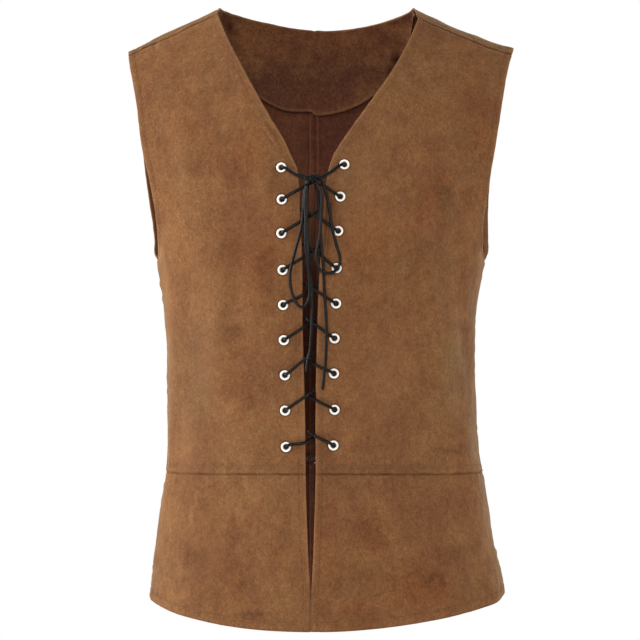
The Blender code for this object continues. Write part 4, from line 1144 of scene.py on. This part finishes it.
def knot_lines():
    lines = [smooth_line([knot_point(*step) for step in in_metres(strand)], 8) for strand in KNOT_STRANDS]
    wrap = []
    for share in np.linspace(0, 1, KNOT_WRAP["steps"] + 1):
        angle = 2 * math.pi * (KNOT_WRAP["turns"] * share + 0.45)
        x = KNOT_WRAP["half_width"] * (2 * share - 1) + KNOT_WRAP["lean"] * math.sin(angle)
        wrap.append(knot_point(x, KNOT_WRAP["height"] * math.sin(angle), KNOT_WRAP["out"] * math.cos(angle)))
    return lines + [smooth_line(wrap, 3)]


# Eyelets: radius and distance out of the front's surface round the turned metal, in millimetres
EYELET_PROFILE = (
    (3, -1.8), (2.98, 0), (3.08, 0.52), (3.44, 0.96), (3.96, 1.22), (4.48, 1.24), (5, 1.02), (5.34, 0.68),
    (5.45, 0.36), (5.38, 0.2), (5, 0.16), (3.74, 0.18), (3.7, -2.28), (4.4, -2.3), (4.78, -2.44),
    (4.86, -2.68), (4.62, -2.96), (4.05, -3.12), (3.5, -3), (3.22, -2.62),
)
EYELET_SIDES = 40


def eyelet_matrix(side, number):
    place, normal = eyelet_spots(side)[number]
    return Matrix.Translation(place) @ normal.to_track_quat("Z", "Y").to_matrix().to_4x4()


def eyelet(name, side, number, surface):
    points, faces = [], []
    matrix = eyelet_matrix(side, number)
    profile = in_metres(EYELET_PROFILE)
    for i in range(EYELET_SIDES):
        angle = 2 * math.pi * i / EYELET_SIDES
        points += [matrix @ Vector((r * math.cos(angle), r * math.sin(angle), out)) for r, out in profile]
    size = len(profile)
    for i in range(EYELET_SIDES):
        here, there = i * size, (i + 1) % EYELET_SIDES * size
        for j in range(size):
            k = (j + 1) % size
            faces.append((here + j, here + k, there + k, there + j))
    return faces_outward(piece(name, [tuple(p) for p in points], faces, surface))


def press_round_eyelets(obj, side):
    """Adds points round a front's eyelets, presses the cloth in round each rim and paints a contact shadow
    there.
    """
    centres = eyelet_spots(side)
    build = bmesh.new()
    build.from_mesh(obj.data)
    near = [
        face for face in build.faces
        if min((face.calc_center_median() - place).length for place, _ in centres) < EYELET_RING["reach"]
    ]
    edges = list(dict.fromkeys(edge for face in near for edge in face.edges))
    bmesh.ops.subdivide_edges(build, edges=edges, cuts=2, use_grid_fill=True)
    seam = build.verts.layers.float["seam"]
    for point in build.verts:
        for place, normal in centres:
            away = point.co - place
            if away.length > EYELET_RING["reach"] + 0.003:
                continue
            out = away.dot(normal)
            radius = (away - normal * out).length
            ring = math.exp(-(((radius - EYELET_RING["radius"]) / EYELET_RING["half_width"]) ** 2))
            if out > -PLY / 2:
                point.co -= normal * EYELET_RING["depth"] * ring
                # a painted contact shadow round the rim
                point[seam] = max(point[seam], EYELET_RING["dark"] * ring)
    build.to_mesh(obj.data)
    build.free()


def cut_holes(obj, side):
    """Cuts a front's nine eyelet holes, and leaves no modifier on it."""
    build = bmesh.new()
    for number in range(EYELETS_A_SIDE):
        bmesh.ops.create_cone(
            build, cap_ends=True, segments=28, radius1=EYELET_HOLE, radius2=EYELET_HOLE,
            depth=0.012, matrix=eyelet_matrix(side, number),
        )
    mesh = bpy.data.meshes.new("holes")
    build.to_mesh(mesh)
    build.free()
    for surface in obj.data.materials:
        mesh.materials.append(surface)
    cutter = bpy.data.objects.new("holes", mesh)
    bpy.context.scene.collection.objects.link(cutter)
    cut = obj.modifiers.new("holes", "BOOLEAN")
    cut.operation = "DIFFERENCE"
    cut.solver = "EXACT"
    cut.object = cutter
    bpy.context.view_layer.update()
    made = bpy.data.meshes.new_from_object(obj.evaluated_get(bpy.context.evaluated_depsgraph_get()))
    obj.modifiers.clear()
    obj.data = made
    bpy.data.objects.remove(cutter)


# The facing inside the back neck
FACING_SHADE = {"depth": 0.9, "half_width": 0.0042}
FACING_PLY = 0.0012
FACING_OFF = 0.0008
# The facing's lower fold: a pale rim of wear and painted highlight, and a painted shadow line at the edge
FACING_EDGE = {
    "rubbed_and_lit": 0.6, "rim_at": 0.0024, "rim_half_width": 0.0012, "dark": 0.9, "dark_half_width": 0.0008,
}
FACING_RED = {"from": -0.045, "over": 0.040, "by": 0.5, "rest": -0.25}
FACING_RUMPLE = {"rise": 0.0004, "shortest": 0.020, "longest": 0.060, "count": 20}
FACING_STEPS = (176, 72)
FACING_REACH = {RIGHT: 60, LEFT: 59}  # in the back's fine columns, each way from the centre
FACING_NOTCH = {"x": -0.0058, "wide": 0.0044, "fades": 0.036, "short": 0.0044, "rest": 0.0012}
FACING_CREASES = table(
    "*face x_from height_from x_to height_to half_width ridge",
    (0, 5, -79, 26, -58, 2.6, 1), (0, 11, -88, 32, -66, 2.4, -0.9), (0, -70, -30, -45, -60, 6, 1.2),
    (0, 30, -20, 56, -50, 6, -1.2), (0, -25, -70, -10, -30, 5, 1), (0, 82, 0, 93, -22, 4.5, -3),
    (0, 74, -4, 84, -30, 4, 1.6), (0, 0, -84, 18, -64, 1.3, 0.7), (0, 16, -90, 40, -68, 1.3, 0.8),
    (0, 20, -80, 36, -62, 1.2, -0.6), (0, -6, -70, 10, -52, 1.2, 0.6), (0, 6, -62, 24, -46, 1.2, 0.6),
    (0, -30, -78, -18, -58, 1.3, 0.7), (0, -40, -72, -29, -50, 1.3, -0.6),
    (0, -22, -60, -12, -40, 1.2, 0.6), (0, 36, -76, 50, -56, 1.4, 0.7), (0, 42, -44, 52, -26, 1.4, -0.6),
    (0, -56, -50, -44, -34, 1.4, 0.6),
)

# Where the back's folds keep the light off the facing
FACING_HOLLOWS = table(
    "*face x height half_x half_height *depth",
    (0, 88, -28, 7, 9.5, 1.3), (0, 81.5, -40, 4.5, 9, 1), (0, 93, -12, 5, 7, 0.5),
    (0, -103, 7, 5, 8, 1.1), (0, -96, 1, 4, 6, 0.6), (0, -106, 12, 6, 12, 0.7),
)


def facing_short(x):
    """How much shorter the facing is than its solid, with a step where its two halves meet."""
    notch = FACING_NOTCH
    past = smooth((notch["x"] - x) / notch["wide"])
    past *= 1 - smooth((notch["x"] - notch["wide"] - x) / notch["fades"])
    return notch["rest"] + notch["short"] * past


def regrid(grid, steps):
    """The same grid with this many even steps along each of its two ways."""
    for _ in range(2):
        old = np.arange(len(grid))
        wanted = np.linspace(0, len(grid) - 1, steps[0] + 1)
        low = np.minimum(wanted.astype(int), len(grid) - 2)
        share = (wanted - old[low])[:, None, None]
        grid = (grid[low] * (1 - share) + grid[low + 1] * share).transpose(1, 0, 2)
        steps = steps[::-1]
    return grid


def facing_layers():
    backs = {}
    for name, side in SIDES.items():
        grid = upper_grid(BACK, side)
        normals = outward(grid)
        outer = grid + normals * drape(grid)[..., None]
        backs[name] = outer, outer - normals * CLOTH
    near, ways = [], []
    for number in range(FACING_REACH[RIGHT], -FACING_REACH[LEFT] - 1, -1):
        if number == 0:
            pairs = [(outer[::-1, 0], inner[::-1, 0]) for outer, inner in backs.values()]
            outer, inner = np.mean(pairs, axis=0)
        else:
            outer, inner = [layer[::-1, abs(number)] for layer in backs["right" if number > 0 else "left"]]
        points, inward = facing_column(inner, (inner - outer) / CLOTH)
        length = arc(points)
        near.append(picked(length * (1 - facing_short(points[-1, 0]) / length[-1]), length, points))
        ways.append(inward)
    near, ways = [regrid(np.array(run), FACING_STEPS) for run in (near, ways)]
    down = np.linspace(0, 1, near.shape[1])[None, :]
    lean = FACING_STANDS_OFF * down**2
    relief = creases(near, FACING_CREASES) + waves(near, 23, **FACING_RUMPLE)
    off = FACING_OFF + lean + np.maximum(relief, -0.0004 - lean)
    layer = near + ways * off[..., None]
    far = layer + ways * FACING_PLY
    from_edge = arc(near, 1)[:, -1:] - arc(near, 1)
    edge = FACING_EDGE
    # A pale rim of wear and painted highlight above the facing's lower edge, and painted shadow along that
    # edge and in the hollows
    rim = edge["rubbed_and_lit"] * bell(from_edge - edge["rim_at"], edge["rim_half_width"])
    dark = edge["dark"] * bell(from_edge, edge["dark_half_width"])
    dark = np.maximum(dark, strongest(layer, FACING_HOLLOWS))
    red = FACING_RED["by"] * smooth((layer[..., 2] - FACING_RED["from"]) / FACING_RED["over"])
    red = red + FACING_RED["rest"]
    return far, layer, {"wear_and_highlight": rim, "smudge_and_shade": 0 * rim, "seam": dark, "hue": red}


# Materials
def fill(tree, made, inputs):
    """Links a node's inputs to sockets, or sets them to constants."""
    for socket, value in inputs.items():
        if isinstance(value, bpy.types.NodeSocket):
            tree.links.new(value, made.inputs[socket])
        else:
            made.inputs[socket].default_value = value
    return made


def node(tree, kind, inputs, **settings):
    made = tree.nodes.new(kind)
    for key, value in settings.items():
        setattr(made, key, value)
    return fill(tree, made, inputs)


def noise(tree, scale, detail, roughness=0.5, stretch=(1, 1, 1), shift=0.0):
    """Noise over the object's own coordinates; scale is in cells per metre."""
    place = node(tree, "ShaderNodeTexCoord", {}).outputs["Object"]
    mapped = node(tree, "ShaderNodeMapping", {"Vector": place, "Scale": stretch, "Location": (shift,) * 3})
    made = node(
        tree, "ShaderNodeTexNoise",
        {"Vector": mapped.outputs["Vector"], "Scale": scale, "Detail": detail, "Roughness": roughness},
    )
    return made.outputs["Fac"]


def maths(tree, operation, first, second):
    return node(tree, "ShaderNodeMath", {0: first, 1: second}, operation=operation).outputs[0]


def spread_out(tree, value, low, high):
    """A value stretched so that low becomes 0 and high becomes 1."""
    made = node(tree, "ShaderNodeMapRange", {"Value": value, "From Min": low, "From Max": high})
    return made.outputs["Result"]


def mixed(tree, share, first, second, blend="MIX"):
    made = node(tree, "ShaderNodeMix", {0: share, 6: first, 7: second}, data_type="RGBA", blend_type=blend)
    return made.outputs[2]


def painted(tree, name):
    made = node(tree, "ShaderNodeAttribute", {}, attribute_name=name, attribute_type="GEOMETRY")
    return made.outputs["Fac"]


def new_surface(name):
    made = bpy.data.materials.new(name)
    made.use_nodes = True
    return made, made.node_tree, made.node_tree.nodes["Principled BSDF"]


def suede(name, golden, reddish, deep, seed, sheen, grainy):
    """Faux suede: soft clouds of hue, brushed streaks, fine grain, marks in the nap with painted shade, and
    pale worn folds with painted highlights.
    """
    made, tree, shader = new_surface(name)

    def cells(scale, detail, roughness, stretch, shift=0):
        return noise(tree, scale, detail, roughness, stretch, seed + shift)

    def times(value, factor):
        return maths(tree, "MULTIPLY", value, factor)

    def plus(first, second):
        return maths(tree, "ADD", first, second)

    def tinted(value, low, high):
        return mixed(tree, 1.0, colour, mixed(tree, value, low, high), "MULTIPLY")

    clouds = cells(11, 3, 0.55, (1, 1, 0.8))
    blotches = cells(52, 4, 0.6, (1, 1, 0.9), 3)
    streaks = cells(1.0, 3, 0.5, (330, 330, 40), 5)
    grain = cells(900, 2, 0.6, (1, 1, 0.8))
    share = plus(plus(times(clouds, 1.3), times(blotches, 1.0)), times(streaks, 0.12))
    colour = mixed(tree, spread_out(tree, share, 1.04, 1.38), (*golden, 1), (*reddish, 1))
    patches = spread_out(tree, cells(30, 5, 0.65, (1, 1, 1), 9), 0.56, 0.74)
    colour = mixed(tree, times(patches, 0.30), colour, (*deep, 1))
    hue = times(maths(tree, "SUBTRACT", cells(16, 3, 0.6, (1, 1, 0.8), 27), 0.5), 1.5)
    hue = spread_out(tree, plus(hue, painted(tree, "hue")), -1.0, 1.0)
    colour = tinted(hue, OLIVE_SHIFT, RED_SHIFT)
    # Dark marks in the nap, with painted shade
    broken = spread_out(tree, cells(110, 4, 0.7, (1, 1, 0.85), 21), 0.32, 0.66)
    marks_and_shade = times(painted(tree, "smudge_and_shade"), plus(broken, 0.20))
    colour = mixed(tree, maths(tree, "MINIMUM", marks_and_shade, 0.85), colour, (*deep, 1))
    fine = spread_out(tree, grain, 0.25, 0.75)
    speckle = spread_out(tree, cells(430, 2, 0.6, (1, 1, 0.85), 13), 0.25, 0.75)
    mottle = spread_out(tree, cells(190, 2, 0.55, (1, 1, 0.8), 17), 0.28, 0.72)
    tone = spread_out(tree, cells(90, 5, 0.8, (1, 1, 0.9), 31), 0.30, 0.70)
    grains = ((fine, 0.17, 0.02), (speckle, 0.19, 0.02), (mottle, 0.09, 0.02), (tone, 0.0, 0.045))
    for value, depth, cool in grains:
        change = [grainy * depth * part + cool * lean for part, lean in ((1, -0.6), (1.05, 0.6), (1.1, 1.4))]
        colour = tinted(value, (*(1 - by for by in change), 1), (*(1 + by for by in change), 1))
    # Painted shade along seams, stitches, hems and eyelets, and the painted shadows of the bow and under the
    # facing
    painted_shade_colour = (0.42 * deep[0], 0.34 * deep[1], 0.26 * deep[2], 1)
    colour = mixed(tree, times(painted(tree, "seam"), 0.75), colour, painted_shade_colour)
    # Pale wear, with painted highlights along folds and ridges
    worn_and_lit = tuple(min(1.0, 1.5 * part + 0.02) for part in golden)
    colour = mixed(tree, times(painted(tree, "wear_and_highlight"), 0.55), colour, (*worn_and_lit, 1))
    rough = node(tree, "ShaderNodeMapRange", {"Value": fine, "To Min": 0.82, "To Max": 0.98})
    height = plus(times(grain, 0.6), times(streaks, 0.15))
    height = plus(height, times(cells(170, 3, 0.6, (1, 1, 0.8)), 0.8))
    bump = node(tree, "ShaderNodeBump", {"Height": height, "Strength": 0.45, "Distance": 0.0007})
    fill(tree, shader, {
        "Base Color": colour, "Roughness": rough.outputs["Result"], "Normal": bump.outputs["Normal"],
        "Specular IOR Level": 0.10, "Sheen Weight": sheen, "Sheen Roughness": 0.34,
        "Sheen Tint": (0.96, 0.95, 0.60, 1),
    })
    return made


def grained(name, grain, contrast, colours, rough, bump, constants):
    """A surface whose colour, roughness and bump follow fine noise."""
    made, tree, shader = new_surface(name)
    value = noise(tree, *grain)
    colour = mixed(tree, spread_out(tree, value, *contrast), *colours)
    rough = node(tree, "ShaderNodeMapRange", {"Value": value, "To Min": rough[0], "To Max": rough[1]})
    strength, distance, own_grain = bump
    height = noise(tree, *own_grain) if own_grain else value
    raised = node(tree, "ShaderNodeBump", {"Height": height, "Strength": strength, "Distance": distance})
    linked = {"Base Color": colour, "Roughness": rough.outputs["Result"], "Normal": raised.outputs["Normal"]}
    fill(tree, shader, {**linked, **constants})
    return made


def eyelet_metal():
    pale = ((0.96, 0.93, 0.86, 1), (1.0, 0.99, 0.95, 1))
    bump = (0.12, 0.0002, (1500, 2))
    return grained("eyelet_metal", (420, 3), (0, 1), pale, (0.26, 0.42), bump, {"Metallic": 0.10})


def lace_cord():
    black = ((0.0006, 0.0006, 0.0006, 1), (0.006, 0.006, 0.0055, 1))
    dull = {"Specular IOR Level": 0.20}
    return grained("lace_cord", (1900, 3, 0.6), (0.3, 0.75), black, (0.22, 0.42), (0.4, 0.0003, ()), dull)


def thread():
    brown = ((0.172, 0.078, 0.030, 1), (0.240, 0.112, 0.045, 1))
    return grained("brown_thread", (2600, 2), (0, 1), brown, (0.55, 0.80), (0.3, 0.0001, ()), {})


def studio():
    """The photograph's camera, a white room's even light and a large soft key from the front left."""
    scene = bpy.context.scene
    camera = bpy.data.cameras.new("camera")
    camera.lens = CAMERA_LENS
    camera.sensor_fit = "HORIZONTAL"
    camera.sensor_width = CAMERA_SENSOR
    holder = bpy.data.objects.new("camera", camera)
    holder.location = CAMERA_PLACE
    holder.rotation_euler = (math.pi / 2, 0, 0)
    scene.collection.objects.link(holder)
    scene.camera = holder
    scene.view_settings.view_transform = "Standard"
    world = bpy.data.worlds.new("studio")
    world.use_nodes = True
    tree = world.node_tree
    seen = node(tree, "ShaderNodeLightPath", {}).outputs["Is Camera Ray"]
    room = node(tree, "ShaderNodeMapRange", {"Value": seen, "To Min": ROOM_LIGHT, "To Max": 1.0})
    fill(tree, tree.nodes["Background"], {"Color": (1, 1, 1, 1), "Strength": room.outputs["Result"]})
    scene.world = world
    for name, place, size, power, colour in (
        ("key", (-3.1, -0.35, 0.5), 1.5, 114.0, (1, 0.99, 0.97)),
        ("front", (-0.2, -2.95, 0.3), 0.7, 33.0, (1, 0.98, 0.96)),
        ("fill", (3.0, -0.9, 0.2), 1.8, 36.0, (1, 0.94, 0.88)),
        ("top", (0.0, 0.9, 1.8), 1.6, 8.0, (1, 1, 1)),
        ("behind", (2.2, 2.4, 0.7), 1.6, 42.0, (1, 1, 1)),
    ):
        lamp = bpy.data.lights.new(name, "AREA")
        lamp.size = size
        lamp.energy = power
        lamp.color = colour
        light = bpy.data.objects.new(name, lamp)
        light.location = place
        light.rotation_euler = (Vector((0, 0, -0.33)) - Vector(place)).to_track_quat("-Z", "Y").to_euler()
        scene.collection.objects.link(light)
    mesh = bpy.data.meshes.new("floor")
    reach = FLOOR_SIZE / 2
    corners = [(-reach, -reach, 0), (reach, -reach, 0), (reach, reach, 0), (-reach, reach, 0)]
    mesh.from_pydata(corners, [], [(0, 1, 2, 3)])
    floor = bpy.data.objects.new("floor", mesh)
    floor.location = (0, 0, FLOOR_HEIGHT)
    scene.collection.objects.link(floor)
    made, tree, shader = new_surface("pale_floor")
    fill(tree, shader, {"Base Color": (0.92, 0.92, 0.92, 1), "Roughness": 0.9})
    mesh.materials.append(made)


def kept(obj, node_name, slot):
    """Hides the solid that a piece takes the place of; slot is not used."""
    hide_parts(node_name)
    return obj


def make_lace():
    cord = lace_cord()
    for name, route in BOW_ROUTES.items():
        line = smooth_line(lie(in_metres(route)), 8)
        strands(name, [line], cord)
    for name, side in SIDES.items():
        strands(f"lace_{name}", [rounded_line(lie(lace_route(side)))], cord)
    strands("bow_knot", knot_lines(), cord)


def make_panel(face, name, part, facing, surfaces, sewing):
    """One panel with its stitches, and with its seam allowances at the back."""
    side = SIDES[name]
    node_name = f"{face_name(face)}_{name}" if part == "upper" else f"{face_name(face)}_skirt_{name}"
    layers = panel(face, side, part)
    within = {}
    if face == BACK:
        # Painted shade on the back's inside: all over the skirt, and below and beside the facing's edges on
        # the upper back
        shade = 0.5
        if part == "upper":
            edges = np.concatenate([facing[:, -1], facing[0, ::2], facing[-1, ::2]])
            shade = facing_shade(layers["inner"], edges)
        within["seam"] = np.maximum(layers["fields"]["seam"], shade)
    made = shell(
        f"suede_{node_name}", layers["outer"], layers["inner"], layers["fields"], surfaces, within,
        layers["turned"],
    )
    if face == FRONT and part == "upper":
        press_round_eyelets(made, side)
        cut_holes(made, side)
    kept(made, node_name, "suede")
    sewn = [stitch_rows(f"stitches_{node_name}", layers["lines"], sewing)]
    if face == BACK:
        columns = ALLOWANCE["columns"][side]
        sewn.append(allowance(f"allowance_{node_name}", layers, columns, surfaces[1]))


def main():
    studio()
    make_lace()
    metal = eyelet_metal()
    for name, side in SIDES.items():
        for number in range(EYELETS_A_SIDE):
            node_name = f"eyelet_{name}_{number + 1}"
            kept(eyelet(f"turned_{node_name}", side, number, metal), node_name, "eyelet_metal")
    surfaces = [suede(name, *look) for name, look in SUEDES.items()]
    sewing = thread()
    far, near, fields = facing_layers()
    for name in SIDES:
        for face in (FRONT, BACK):
            for part in ("upper", "skirt"):
                make_panel(face, name, part, near, surfaces[:2], sewing)
    made = kept(shell("suede_neck_facing", far, near, fields, surfaces[2:]), "neck_facing", "facing")
    far.transpose(1, 0, 2)


main()
